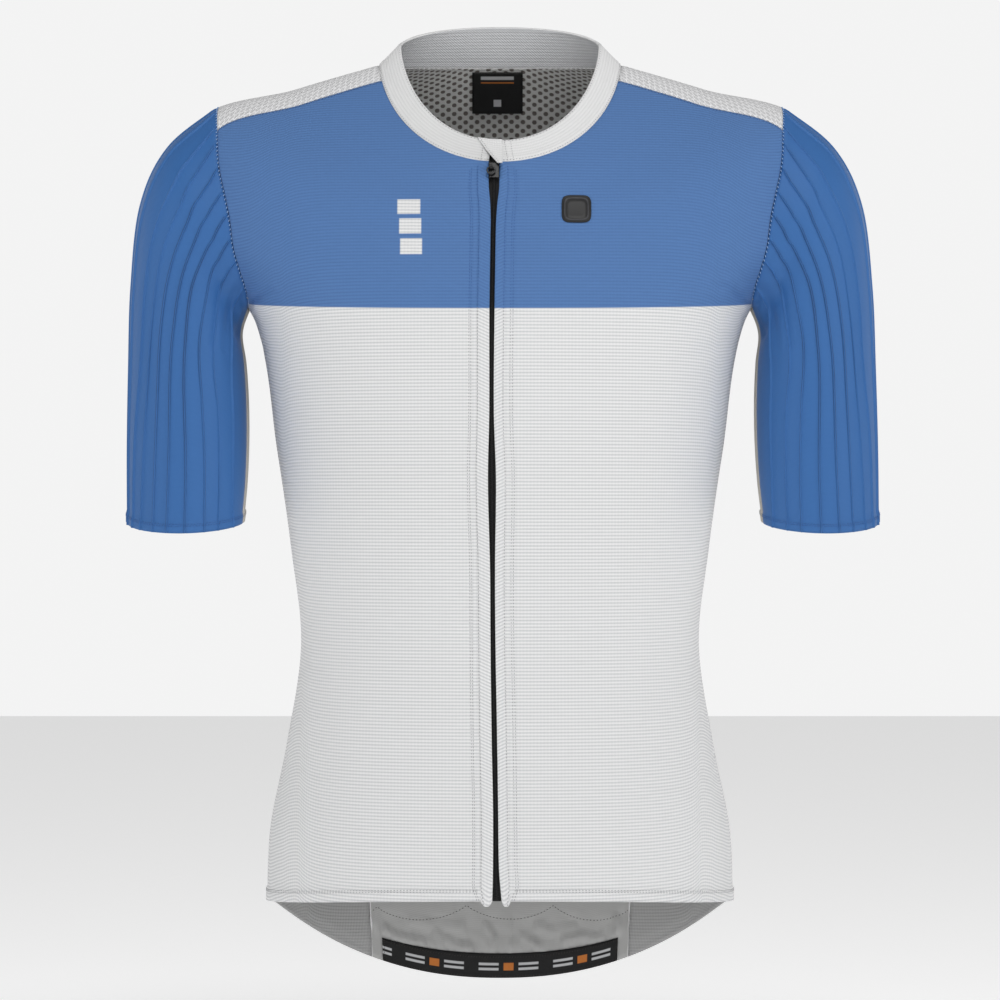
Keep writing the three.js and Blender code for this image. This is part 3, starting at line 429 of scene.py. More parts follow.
def dashed(name, ground, light, accent, dashes, accents, pitch, weave, roughness):
    """A dark weave with plain woven dashes in it. Each dash is its place across and along, in mm."""
    material, tree, shader = new_material(name, roughness)
    across, along = flat_place(tree)
    turns = add_node(tree, "Math", (across, pitch), operation="FLOORED_MODULO")
    threads = add_node(tree, "Math", (waves(tree, across, weave), waves(tree, along, weave)),
                       operation="MULTIPLY")
    # Darker in the gaps between threads and lighter on their tops: painted shade.
    colour = tinted(tree, ground, linear("#0c0c0e"), threads)
    for places, paint in ((dashes, light), (accents, accent)):
        for x0, x1, y0, y1 in places:
            inside_x = between(tree, turns, x0, x1, 0.25)
            inside_y = between(tree, along, y0, y1, 0.25)
            inside = add_node(tree, "Math", (inside_x, inside_y), operation="MULTIPLY")
            colour = tinted(tree, colour, paint, inside)
    tree.links.new(colour, shader.inputs["Base Color"])
    relief(tree, shader, threads, 0.12)
    return material


PALE_YARN, ORANGE_YARN = linear("#c9cacc"), linear("#c8752d")
ELASTIC_DASHES = [(6, 22, 6, 8), (6, 22, 10, 12), (26, 34, 6, 12), (38, 54, 6, 8), (38, 54, 10, 12)]
FINISHES = {
    "front": front_knit(),
    "side": plain_knit("side_polyester_microrib_knit", WHITE_GROOVE_SHADE, WHITE, RIB_PITCH, 0.22),
    # Wrong side drawn grey: painted shade inside the hollow garment.
    "knit_inside": plain_knit("knit_wrong_side", linear("#9a9a9a"), linear("#adadad"), RIB_PITCH, 0.2),
    "mesh": eyelet_mesh("back_mesh_right_side", linear("#d2d2d3"), linear("#e8e8e9"), linear("#e6e6e7"),
                        0.5, (7.2, 2.6)),
    # Wrong side drawn darker, with darker eyelets and tail: painted shade inside the hollow garment.
    "mesh_inside": eyelet_mesh("back_mesh_wrong_side", linear("#736d69"), linear("#dcdcda"),
                               linear("#b4b4b3"), 0.4, (3.9, 4.3)),
    "pocket": plain_knit("pocket_polyester_knit", linear("#dfe0e2"), linear("#efeff0"), 1.6, 0.15),
    "sleeve": plain_knit("sleeve_nylon_stretch_knit", linear("#28609f"), linear("#3069aa"), 0.9, 0.06,
                         0.6, 0.9),
    # Wrong side drawn darker blue: painted shade inside the sleeve.
    "sleeve_inside": plain_knit("sleeve_wrong_side", linear("#264a7a"), linear("#2f568a"), 0.9, 0.06),
    "underarm": plain_knit("underarm_stretch_knit", linear("#b9b4ab"), linear("#cbc6bd"), 1.2, 0.12),
    "collar": plain_knit("collar_double_knit", linear("#dcdcdc"), linear("#eaeaea"), 2.6, 0.25, 0.75, 1.3,
                         0.35),
    # Wrong side drawn darker: painted shade inside the collar.
    "collar_inside": plain_knit("collar_wrong_side", linear("#bcbdc0"), linear("#dcdddf"), 2.6, 0.3, 0.75,
                                2.2, 0.5),
    "tape": woven("zip_polyester_tape", linear("#020202"), linear("#070708"), 0.7, 0.1, 0.8),
    "coil": even_finish("zip_nylon_coil", linear("#030304"), linear("#0c0c0e"), 4, 0.5),
    "elastic": dashed("woven_gripper_elastic", linear("#020203"), PALE_YARN, ORANGE_YARN,
                      [ELASTIC_DASHES[k] for k in (0, 1, 3, 4)], [ELASTIC_DASHES[2]], 60, 1.1, 0.7),
    "label": dashed("woven_satin_label", linear("#020203"), PALE_YARN, ORANGE_YARN,
                    [(7, 33, 3.5, 6.5), (17, 23, 24, 30)], [(7, 33, 8.5, 9.7)], 60, 0.5, 0.5),
    # White thread drawn grey: painted shade in and between the needle holes.
    "white_thread_painted_shade": even_finish("shaded_white_thread", linear("#8e8f91"), linear("#a6a7a9"), 2, 0.6),
    "blue_thread": even_finish("pale_blue_thread", linear("#7fa2d2"), linear("#a0bce2"), 2, 0.5),
    "deep_thread": even_finish("dyed_thread", linear("#2d5591"), linear("#38629f"), 2, 0.6),
    "dark_thread": even_finish("black_overlock_thread", linear("#1a1715"), linear("#383430"), 2, 0.7),
    "metal": even_finish("black_lacquered_zinc", linear("#050506"), linear("#0c0c0e"), 3, 0.4),
    "patch": even_finish("moulded_rubber_patch", linear("#0b0b0c"), linear("#121214"), 6, 0.5),
    "patch_edge": even_finish("worn_rubber_rim", linear("#26262a"), linear("#313136"), 6, 0.45),
}
print("finishes:", len(FINISHES))

# %% [markdown]
# ## From a grid to a cloth
#
# Each cut piece starts as a flat grid whose points are then laid on the surface. Its flat map holds the
# distances along the cloth in millimetres. A Solidify modifier gives the cloth its thickness inwards.

# %% Cloth helper
CLOTH = 1.2
SEAM_DIP, SEAM_REACH = 0.5, 1.6
# A sheet's stated width is its widest row on the surface and 0.2 % more.
PIECES = {}


def normals_of(points, inside):
    """Outward normals of a grid of points. inside is a point, or points, that the cloth wraps round."""
    normals = np.cross(np.gradient(points, axis=1), np.gradient(points, axis=0))
    normals /= np.maximum(np.linalg.norm(normals, axis=-1, keepdims=True), 1e-9)
    if np.sum(normals * (points - inside)) < 0:
        normals = -normals
    return normals


def from_edges(points):
    """Distances of each point from the left, right, bottom and top edge of its grid."""
    across, up = lengths(points, 1), lengths(points, 0)
    return across, across[:, -1:] - across, up, up[-1:] - up


def flat_map(points):
    """The flat place of each point: its distances from the left and the bottom edge."""
    across, _, up, _ = from_edges(points)
    return np.stack([across, up], -1)


def bell(distance, reach):
    """1 at a line, falling softly to 0 beyond its reach."""
    return np.exp(-((distance / reach) ** 2))


def seam_dip(*distances):
    """How far cloth dips beside its seams, given its distances from them."""
    return SEAM_DIP * sum(bell(distance, SEAM_REACH) for distance in distances)


def step(distance, place, soft=0.5):
    """1 below a distance and 0 beyond it, with a short soft step."""
    return 1 / (1 + np.exp(np.clip((distance - place) / (soft / 4), -60, 60)))


def off_path(points, path):
    """How far points are from the nearest place on a path of straight parts."""
    nearest = np.full(points.shape[:-1], np.inf)
    path = np.asarray(path, float)
    for start, end in zip(path[:-1], path[1:]):
        part = end - start
        share = np.clip((points - start) @ part / (part @ part), 0, 1)
        nearest = np.minimum(nearest, np.linalg.norm(points - start - share[..., None] * part, axis=-1))
    return nearest


def creases(points, paths):
    """Soft folds: a narrow valley along each path, with the cloth standing up a little beside it. Each
    entry is a path, how deep its valley is and how wide."""
    lift = np.zeros(points.shape[:-1])
    for path, deep, wide in paths:
        far = off_path(points, path)
        lift += deep * (0.45 * bell(far, 3.2 * wide) - bell(far, wide))
    return lift


def finish_piece(name, bm, materials, body="jersey", nodes=()):
    """Makes an object from a bmesh, in metres, and tells the frame what it is."""
    mesh = bpy.data.meshes.new(name)
    bm.to_mesh(mesh)
    bm.free()
    mesh.shade_smooth()
    for material in materials:
        mesh.materials.append(FINISHES[material])
    piece = bpy.data.objects.new(name, mesh)
    bpy.context.scene.collection.objects.link(piece)
    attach(piece, body)
    if nodes:
        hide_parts(*nodes)
    return piece


def cloth(node, points, flat, materials, inside, thickness=CLOTH):
    """A cut piece of cloth from a grid of points and their flat places. It stands for one CAD node. A
    second material is for its wrong side."""
    name = node + "_cloth"
    rows, columns = points.shape[0] - 1, points.shape[1] - 1
    bm = bmesh.new()
    bmesh.ops.create_grid(bm, x_segments=columns, y_segments=rows, size=0.5)
    flat_layer = bm.loops.layers.uv.new(FLAT_MAP)
    places = {}
    for vertex in bm.verts:
        i, j = round((vertex.co.y + 0.5) * rows), round((vertex.co.x + 0.5) * columns)
        places[vertex] = i, j
        vertex.co = points[i, j] * MM
    for face in bm.faces:
        for loop in face.loops:
            loop[flat_layer].uv = flat[places[loop.vert]]
    bm.normal_update()
    outward = normals_of(points, inside)
    PIECES[node] = points, outward
    agree = sum(v.normal.dot(Vector(outward[places[v]])) for v in bm.verts)
    if agree < 0:
        bmesh.ops.reverse_faces(bm, faces=bm.faces)
    area = sum(face.calc_area() for face in bm.faces)
    piece = finish_piece(name, bm, materials, nodes=[node])
    wall = piece.modifiers.new("wall", "SOLIDIFY")
    wall.material_offset = len(materials) - 1
    wall.thickness = thickness * MM
    wall.offset = -1
    return piece


def axis_of(points):
    """The trunk's middle line at the height of each point."""
    middle = np.zeros_like(points)
    middle[..., 2] = np.minimum(points[..., 2], -60)
    return middle


# %% [markdown]
# ## The fronts
#
# Each front runs from its folded edge at the zip to the side seam, the armhole and the shoulder. Its
# rows of points start along the zip and go on along the neckline, and all of them end on the side seam
# or on the armhole. The cloth turns under at the zip as a lip, which is drawn up by its thread, so it
# puckers, and its rounded end hangs a little below the hem. Small creases start at the zip and armpits.

# %% Front panels
LOW, ZIP_UP, NECK_FRONT = 168, 32, 45
ACROSS = 84
ZIP_MEAN_X = -4
LIP_WIDTH, LIP_LIFT, LIP_DROP = {"left": 6.8, "right": 8.8}, 0.9, 4
TAPE_ROWS = {"left": (12.3, 14.2), "right": (14.2, 15.7)}
HEM_FOLD, HEM_LIFT = 9, 0.8
FOLD_COLUMNS = np.array([
    0.3, 0.7, 1.2, 1.9, 2.8, 3.8, 4.8, 5.7, 6.2, 6.6, 7, 7.5, 8, 8.4, 8.8, 9.2, 9.8, 10.6, 11.4, 12,
    12.6, 13.2, 13.8, 14.4, 15, 15.6, 16.2, 17,
])
# Creases on the wearer's left and right, in x and z: the path, how deep and how wide
LEFT_CREASES = [
    ([(9, -407), (20, -404), (31, -399)], 0.4, 2.2), ([(8, -547), (17, -544), (29, -542)], 0.8, 2.4),
    ([(8, -577), (18, -581), (29, -580)], 0.7, 2.2), ([(8, -603), (16, -597), (24, -594)], 0.6, 2),
    ([(189, -158), (184, -154), (177, -152)], 1.5, 2.6), ([(184, -152), (176, -149), (168, -148)], 1.1, 2.6),
    ([(178, -186), (160, -196), (138, -203)], 0.4, 5), ([(150, -470), (130, -500), (118, -545)], 0.4, 9),
]
RIGHT_CREASES = [
    ([(-11, -399), (-24, -395), (-35, -396)], 0.7, 2.4), ([(-11, -447), (-24, -451), (-33, -450)], 0.6, 2.2),
    ([(-11, -549), (-22, -547), (-32, -550)], 0.7, 2.2), ([(-11, -558), (-20, -561), (-28, -560)], 0.6, 2),
    ([(-11, -573), (-22, -578), (-34, -578)], 0.8, 2.4),
    ([(-190.7, -159), (-188.8, -157), (-184, -155)], 1.6, 2.6),
    ([(-188.8, -155), (-181, -152), (-174, -151)], 1.4, 2.6),
    ([(-180, -190), (-163, -200), (-142, -206)], 0.4, 5),
    ([(-150, -465), (-132, -498), (-120, -540)], 0.4, 9),
]


def rows_between(left, right, first, steps):
    """Spots in rows from left to right. The first distances are fixed and the others are even."""
    t = np.linspace(0, 1, 201)
    spots = left[:, None] + (right - left)[:, None] * t[:, None]
    along = lengths(trunk(spots), 1)
    shares = []
    for row in along:
        rest = first[-1] + (row[-1] - first[-1]) * np.linspace(0, 1, steps + 1)[1:]
        shares.append(np.interp(np.concatenate([[0], first, rest]), row, t))
    return left[:, None] + (right - left)[:, None] * np.array(shares)[..., None]


def mirrored(points, side):
    """Points on the wearer's left as they are, or moved to the right."""
    return points * np.array((side, 1, 1))


def up_the_zip(low, high):
    """A path up the front along the middle of the zip, between two levels."""
    return lambda t: front_spot(ZIP_MEAN_X + 0 * t, low + (high - low) * t)


below = evenly(up_the_zip(0, ZIP_AT_ARMPIT), trunk, LOW)
above = evenly(up_the_zip(ZIP_AT_ARMPIT, NECK), trunk, ZIP_UP)
zip_levels = np.concatenate([below, above[1:]])[:, 1]
side_spots = evenly(side_seam, trunk, LOW)
armhole_front = armhole(armhole_rows(ARMPIT, SHOULDER_END, ZIP_UP + NECK_FRONT))
COURSES_X = np.linspace(0, 236, 80)


def course_table():
    """For lines down the front at fixed distances from the middle: heights and lengths of cloth."""
    levels = np.linspace(0, NECK, 900)
    ring = smooth(RINGS, levels)
    table = []
    for x in COURSES_X:
        points = trunk(front_spot(np.minimum(x, ring[:, 0] * 0.985), levels))
        along = lengths(points)
        start = np.interp(-300, points[:, 2], along)
        table.append((points[:, 2], along - start))
    return table


COURSES = course_table()


def along_courses(points):
    """The length of cloth from a fixed height up to each point, so that ribs stay level on the front."""
    flat = points.reshape(-1, 3)
    place = np.interp(np.abs(flat[:, 0]), COURSES_X, np.arange(len(COURSES_X)))
    readings = np.array([np.interp(flat[:, 2], heights, values) for heights, values in COURSES])
    low = np.clip(place.astype(int), 0, len(COURSES_X) - 2)
    share = place - low
    index = np.arange(len(flat))
    values = readings[low, index] * (1 - share) + readings[low + 1, index] * share
    hem = np.interp(place, np.arange(len(COURSES)), [heights[0] for heights, _ in COURSES])
    values += np.minimum(0, flat[:, 2] - hem)
    return values.reshape(points.shape[:-1])


fronts = {}
for name, side in (("left", 1), ("right", -1)):
    edge_x = side * zip_at(zip_levels, 1) + zip_at(zip_levels, 2) / 2
    edge = front_spot(edge_x, zip_levels)
    neckline = evenly(line(edge[-1], NECK_CORNER), trunk, NECK_FRONT)
    left_edge = np.concatenate([edge, neckline[1:]])
    right_edge = np.concatenate([side_spots, armhole_front[1:]])
    base = trunk(rows_between(left_edge, right_edge, FOLD_COLUMNS, ACROSS))
    normals = normals_of(base, axis_of(base))
    from_zip, from_side, from_hem, _ = from_edges(base)
    rows = np.arange(len(base))[:, None]
    on_zip = step(rows, len(edge) - 1, 0.5)
    width = LIP_WIDTH[name]
    lip = LIP_LIFT * step(from_zip, width, 0.9) * on_zip
    hem = HEM_LIFT * step(from_hem, HEM_FOLD)
    dip = SEAM_DIP * bell(from_side, SEAM_REACH) + SEAM_DIP * bell(from_zip, SEAM_REACH) * (1 - on_zip)
    dip += 0.35 * bell(from_hem - HEM_FOLD - 1, 1.3)
    dip += on_zip * (0.45 * bell(from_zip, 0.8) + 0.3 * bell(from_zip, 4) * step(from_zip, width, 2))
    for place in TAPE_ROWS[name]:
        dip += 0.22 * bell(from_zip - place, 0.8) * on_zip
    pucker = np.sin(from_hem * 2 * math.pi / 7.3) + 0.7 * np.sin(from_hem * 2 * math.pi / 11.9 + side)
    pucker *= 0.16 * on_zip * np.exp(-((from_zip - width - 2) / 9) ** 2)
    placed = mirrored(base, side)
    folds = creases(placed[..., [0, 2]], LEFT_CREASES if side == 1 else RIGHT_CREASES)
    lift = np.maximum(lip, hem) - dip + pucker + folds
    points = placed + mirrored(normals, side) * lift[..., None]
    round_end = np.clip(1 - np.abs(2 * from_zip / width - 1) ** 3, 0, 1)
    points[..., 2] -= LIP_DROP * round_end * np.exp(-((from_hem / 9) ** 2))
    slant = 0.45 * np.maximum(0, width - from_zip) * on_zip
    flat = np.stack([base[:, :1, 0] + from_zip, along_courses(base) + slant], -1)
    fronts[name] = {"base": base, "normals": normals, "neckline": neckline, "edge": edge}
    cloth("front_" + name, points, flat, ["front", "knit_inside"], axis_of(points))

# %% [markdown]
# ## Side panels and back
#
# Behind the side seam a narrow panel of the same knit shapes the waist. The back is one piece of mesh
# whose upper corners wrap forward over the shoulders, so it has no seam on top of them.

# %% Side panels
SIDE_ACROSS = 36


def between_seams(left, right, bottom, top):
    """A grid of spots between four edges."""
    s, t = np.linspace(0, 1, len(bottom))[None, :, None], np.linspace(0, 1, len(left))[:, None, None]
    sides = left[:, None] * (1 - s) + right[:, None] * s
    ends = bottom[None] * (1 - t) + top[None] * t
    corners = (bottom[0] * (1 - s) + bottom[-1] * s) * (1 - t) + (top[0] * (1 - s) + top[-1] * s) * t
    return sides + ends - corners


back_seam_spots = evenly(back_seam, trunk, LOW)
hem_side = evenly(line(side_spots[0], back_seam_spots[0]), trunk, SIDE_ACROSS)
armhole_side = armhole(armhole_rows(ARMPIT, BACK_SEAM_END, SIDE_ACROSS))
for name, side in (("left", 1), ("right", -1)):
    base = trunk(between_seams(side_spots, back_seam_spots, hem_side, armhole_side))
    normals = normals_of(base, axis_of(base))
    left, right, bottom, top = from_edges(base)
    dip = seam_dip(left, right, top)
    lift = HEM_LIFT * step(bottom, HEM_FOLD) - dip
    points = mirrored(base + normals * lift[..., None], side)
    flat = np.stack([left, along_courses(base)], -1)
    cloth("side_back_" + name, points, flat, ["side", "knit_inside"], axis_of(points))

# %% Back panel
BACK_ACROSS, BACK_ARMHOLE, SHOULDER_STRIP = 144, 46, 40
BACK_FAN = 0.62
TAIL_HALF = 112
CRUMPLES_ABOVE = 21
# Inside the tail the pockets' lower edges are sewn on in three scallops, and the cloth below crumples
SCALLOPS = (-171, -99, -27, 43, 106, 170)
TAIL_CRUMPLES = [
    ([(-92, -652), (-80, -660), (-62, -664)], 2.2, 2.4), ([(-52, -656), (-38, -664), (-24, -668)], 2, 2),
    ([(-74, -646), (-50, -650), (-30, -652)], 1.5, 2.6), ([(-12, -650), (-4, -660), (-8, -670)], 1.6, 2),
    ([(16, -658), (28, -664), (36, -672)], 2.2, 2.2), ([(30, -650), (44, -655), (60, -652)], 1.8, 2.4),
    ([(52, -662), (66, -658), (84, -660)], 2.2, 2.5), ([(92, -640), (96, -650), (90, -660)], 1.6, 2.6),
]

shoulder_end = armhole(np.array(SHOULDER_END))
back_edge = np.concatenate([
    evenly(back_seam, trunk, LOW),
    armhole(armhole_rows(BACK_SEAM_END, SHOULDER_END + FULL_TURN, BACK_ARMHOLE))[1:],
    evenly(line(shoulder_end, NECK_CORNER), trunk, SHOULDER_STRIP)[1:],
])
step_number = np.arange(len(back_edge)) - LOW
fan = np.where(step_number <= BACK_ARMHOLE, BACK_FAN * step_number / BACK_ARMHOLE,
               BACK_FAN + (1 - BACK_FAN) * (step_number - BACK_ARMHOLE) / SHOULDER_STRIP)
seam_end_level = back_edge[LOW, 1]
middle_level = np.where(step_number > 0, seam_end_level + (NECK - seam_end_level) * fan, back_edge[:, 1])
across = np.linspace(0, 1, BACK_ACROSS + 1)
rise = 1 - np.abs(1 - 2 * across) ** 3
back_spots = np.stack([
    back_edge[:, :1] + (360 - 2 * back_edge[:, :1]) * across,
    back_edge[:, 1:] + (middle_level[:, None] - back_edge[:, 1:]) * rise,
], -1)
back_base = trunk(back_spots)
back_normals = normals_of(back_base, axis_of(back_base))
left, right, bottom, top = from_edges(back_base)
dip = seam_dip(left, right, top)
x, z = back_base[..., 0], back_base[..., 2]
cusp = np.interp(x, SCALLOPS, np.arange(len(SCALLOPS)))
scallop = -632 - 12 * np.abs(np.sin(np.mod(cusp, 1) * math.pi)) ** 0.7
doubled = step(scallop, z, 1.2) * np.exp(-(np.maximum(0, z - scallop) / 60) ** 2)
doubled *= step(np.abs(x), 118, 4)
in_tail = step(np.abs(x), TAIL_HALF, 8)
under_scallop = step(z, scallop, 2) * in_tail
seam_ridge = 1.4 * bell(x - 7.5, 1.0) * under_scallop * (1 - step(bottom, CRUMPLES_ABOVE, 5))
at_elastic = np.exp(-(((bottom - 24) / 3.5) ** 2)) * in_tail
gathers = at_elastic * (0.6 + 0.6 * np.sin(x * 2 * math.pi / 7.1 + 1.5 * np.sin(x / 17)))
crumples = creases(back_base[..., [0, 2]], TAIL_CRUMPLES) * in_tail
ripple = 0.7 * np.sin(x / 5.2 + z / 3.1) * np.sin(z / 4.3 - x / 9.7)
crumpled = np.maximum(0, 1.4 - 1.9 * crumples + ripple) * under_scallop
crumpled *= 1 - step(bottom, CRUMPLES_ABOVE, 5)
inward = 1.5 * doubled + seam_ridge + gathers + crumpled
flat = np.stack([left - left[:, -1:] / 2, lengths(back_base, 0)], -1)
back_points = back_base - back_normals * (dip + inward)[..., None]
cloth("back", back_points, flat, ["mesh", "mesh_inside"], axis_of(back_base))

# %% [markdown]
# ## Rear pockets
#
# Three pockets hang behind the small of the back as one strip of plain knit. Two vertical rows of
# stitches divide it, so each pocket swells a little between them, and a binding closes the top edge.

# %% Pockets
POCKET_BULGE, POCKET_BINDING = 2.6, 9
POCKET_FOOT = 18
seam_length = lengths(back_base[:LOW + 1, 0])[-1]
POCKET_ROWS = round(LOW * (POCKET_FOOT + (seam_length - POCKET_FOOT) * 3 / 13) / seam_length)
first, last = round(BACK_ACROSS / 20), BACK_ACROSS - round(BACK_ACROSS / 20)
pocket_base = back_base[:POCKET_ROWS + 1, first:last + 1]
pocket_normals = back_normals[:POCKET_ROWS + 1, first:last + 1]
left, right, bottom, top = from_edges(pocket_base)
third = np.mod(np.linspace(0, 3, last - first + 1), 1)
swell = POCKET_BULGE * np.sin(third * math.pi) ** 0.8 * np.minimum(1, bottom / 60)
lift = 0.3 + CLOTH + swell + 0.6 * step(top, POCKET_BINDING)
pocket_points = pocket_base + pocket_normals * lift[..., None]
cloth("pockets", pocket_points, flat_map(pocket_base), ["pocket"], axis_of(pocket_base))

# %% [markdown]
# ## Sleeves
#
# A sleeve starts on the armhole seam and passes through rings down to the cuff. Thin ribs are knitted
# along it. They sweep forward from the shoulder before they run down, so the columns of the grid follow
# them: a table holds how far each rib leans at each height. A narrow panel closes the sleeve under the
# arm, and three folds lie above the elbow where the cloth is slack.

# %% Sleeves
# Inner point x and z, outer point x and z, half depth, middle y, drop of the front
SLEEVE = np.array([
    (199, -181, 256.5, -38, 57, -1, 0), (196, -204, 277, -82, 57, -3, 1), (194, -233, 284, -145, 56, -6, 3),
    (193.5, -265, 285.5, -209, 54, -11, 5), (194.5, -296, 286, -270, 52.5, -17, 7),
    (197, -325, 285.5, -326, 51, -22, 9),
])
COLUMN_ROWS = np.concatenate([
    armhole_rows(SHOULDER_END, ARMPIT, 12),
    armhole_rows(ARMPIT, BACK_SEAM_END, 5)[1:],
    armhole_rows(BACK_SEAM_END, SHOULDER_END + FULL_TURN, 8)[1:],
])
UNDER_START, UNDER_END = 11, 14
ROW_TURN = 360 / FULL_TURN
# Turns of the two seams of the underarm panel, in front and behind
UNDER_FROM, UNDER_TO = COLUMN_ROWS[UNDER_START] * ROW_TURN, COLUMN_ROWS[UNDER_END] * ROW_TURN - 360
LEAN_FADE = 25
SLEEVE_LONG = 104
CUFF_FOLD = 7
RIB_HEIGHT, RIB_REACH = 1.5, 0.62
RIB_TURNS = (-128, -112, -94, -76, -60, -45, -30, -15, 0, 15, 30, 44, 60, 75, 93, 112, 127, 146)
LEAN_TURNS = (0, 30, 45, 60, 75, 94, 112, 127, 150, 180)
LEAN_SHARES = (0, 0.05, 0.11, 0.2, 0.33, 0.47, 0.6, 0.8, 1)
LEANS = np.array([
    (0, -4, -6, -8, -9, -12, -14, -12, -8, 0), (0, 5, 3, 1, -1, -5, -9, -10, -8, 0),
    (0, 14, 13, 10, 8, 3, -4, -7, -6, 0), (0, 22, 22, 17, 13, 5, -3, -5, -5, 0),
    (0, 19, 18, 13, 9, 0, -5, -7, -6, 0), (0, 14, 13, 7, 4, -3, -9, -10, -7, 0),
    (0, 12, 9, 4, 1, -4, -6, -5, -6, 0), (0, 3, 4, 2, 1, -1, -2, -2, -5, 0),
    (0, 0, 0, 0, 0, 0, 0, 0, 0, 0),
])
# The folds of a sleeve: turn and share of each point, how deep and how wide
SLEEVE_FOLDS = [
    ([(121, 0.15), (122, 0.23), (119, 0.33), (117, 0.42)], 1.3, 3),
    ([(133, 0.06), (138, 0.16), (133, 0.28), (130, 0.39)], 1.5, 3),
    ([(136, 0.03), (145, 0.05), (161, 0.06), (162, 0.14), (152, 0.24)], 1.6, 3),
]


def sleeve(turns, shares, lean):
    """Points of a sleeve. turns are degrees round it from the top, forward, in a row for each share of
    the way from the armhole to the cuff."""
    turn = np.radians(turns)[..., None]
    stations = [trunk(armhole(turns * FULL_TURN / 360))]
    for inner_x, inner_z, outer_x, outer_z, depth, y, drop in SLEEVE:
        middle = np.array([(inner_x + outer_x) / 2, y, (inner_z + outer_z) / 2])
        outward = np.array([(outer_x - inner_x) / 2, 0, (outer_z - inner_z) / 2])
        stations.append(middle + outward * np.cos(turn) + np.array([0, -depth, -drop]) * np.sin(turn))
    rows = np.moveaxis(np.array(stations), 0, 1)
    points = np.array([smooth(row, share * len(SLEEVE)) for row, share in zip(rows, shares)])
    points[..., 0] += lean * shares[:, None]
    return points


def swept(turns, shares):
    """The turns of ribs at shares of the way down, from their turns at the cuff."""
    at = np.interp(shares, LEAN_SHARES, np.arange(len(LEANS)))
    leans = smooth(LEANS, at)
    found = []
    for row in leans:
        lean = np.sign(turns) * np.interp(np.abs(turns), LEAN_TURNS, row)
        fade = np.clip((UNDER_FROM - turns) / LEAN_FADE, 0, 1)
        fade = fade * np.clip((turns - UNDER_TO) / LEAN_FADE, 0, 1)
        found.append(turns + lean * fade)
    return np.array(found)


rib_steps = np.array([-1.9, -1.4, -1.05, -0.75, -0.4, 0, 0.4, 0.75, 1.05, 1.4, 1.9])
main_turns = np.unique(np.round(np.concatenate([
    np.linspace(UNDER_TO, UNDER_FROM, 90), (np.array(RIB_TURNS)[:, None] + rib_steps).ravel(),
]), 4))
main_turns = np.delete(main_turns, np.flatnonzero(np.diff(main_turns) < 0.2) + 1)
main_turns[[0, -1]] = UNDER_TO, UNDER_FROM
under_turns = np.linspace(UNDER_FROM, UNDER_TO + 360, 25)
shares = np.linspace(1, 0, SLEEVE_LONG + 1)
all_rows = np.ones((len(shares), 1))
for name, side, lean in (("left", 1, 4.0), ("right", -1, -0.5)):
    middle = sleeve(np.linspace(0, 360, 61)[:-1] * all_rows, shares, lean).mean(axis=1, keepdims=True)
    fold_paths = []
    for path, deep, wide in SLEEVE_FOLDS:
        places = [sleeve(np.array([[turn]]), np.array([share]), lean)[0, 0] for turn, share in path]
        fold_paths.append((places, deep, wide))
    for part, turns in (("sleeve", swept(main_turns, shares)), ("sleeve_under", under_turns * all_rows)):
        base = sleeve(turns, shares, lean)
        normals = normals_of(base, middle)
        left, right, bottom, top = from_edges(base)
        dip = seam_dip(left, right, top)
        lift = HEM_LIFT * step(bottom, CUFF_FOLD) - dip
        if part == "sleeve":
            nearest = np.abs(main_turns[:, None] - np.array(RIB_TURNS)).min(axis=1)
            lift = lift + RIB_HEIGHT * bell(nearest, RIB_REACH) * (1 - bell(top, 2.5))
            lift = lift + creases(base, fold_paths) * step(bell(top, 6), 0.5, 1)
        points = mirrored(base + normals * lift[..., None], side)
        look = ("sleeve", "sleeve_inside") if part == "sleeve" else ("underarm",)
        cloth(part + "_" + name, points, flat_map(base), look, mirrored(middle, side))

# %% [markdown]
# ## Collar
#
# The collar is a low band, folded double, that leans in towards the neck. Its foot is the neck seam and
# its ends stand on either side of the zip.

# %% Collar band
COLLAR_CLOTH = 1.8
COLLAR_TOP_GAP = 2.5
COLLAR_UP = 16
BEHIND = np.linspace(NECK_CORNER[0], 360 - NECK_CORNER[0], 121)

foot = np.concatenate([
    fronts["left"]["neckline"][:, 0],
    BEHIND[1:-1],
    360 - fronts["right"]["neckline"][::-1, 0],
])


def collar_end(side):
    """The angle where the collar's top edge ends beside the zip."""
    x = side * ZIP[-1, 1] + COLLAR_TOP_GAP / 2
    return np.sign(x) * np.degrees(np.arcsin((abs(x) / COLLAR_TOP[0]) ** (COLLAR_TOP[6] / 2)))


near_start = np.maximum(0, 1 - (foot - foot[0]) / NECK_CORNER[0])
near_end = np.maximum(0, 1 - (foot[-1] - foot) / NECK_CORNER[0])
top_angles = foot + (collar_end(1) - foot[0]) * near_start + (360 - collar_end(-1) - foot[-1]) * near_end
up = np.linspace(0, 1, COLLAR_UP + 1)[:, None]
collar_spots = np.stack([foot + (top_angles - foot) * up, up + 0 * foot], -1)
collar_base = collar(collar_spots)
neck_middle = collar_base.mean(axis=1, keepdims=True)
collar_normals = normals_of(collar_base, neck_middle)
left, right, bottom, top = from_edges(collar_base)
lift = 0.3 * step(bottom, 5.5) - SEAM_DIP * bell(bottom, SEAM_REACH) - 0.5 * bell(top, 0.8)
collar_points = collar_base + collar_normals * lift[..., None]
cloth("collar", collar_points, flat_map(collar_base), ["collar", "collar_inside"],
      neck_middle, COLLAR_CLOTH)

# %% [markdown]
# ## Zip
#
# A nylon coil zip has two rows of coiled teeth on a woven tape. The tape lies behind the folded edges
# of the fronts and the ends of the collar. Each tooth is a small rounded bar, because hundreds of them
# are seen only as a fine dark grain.

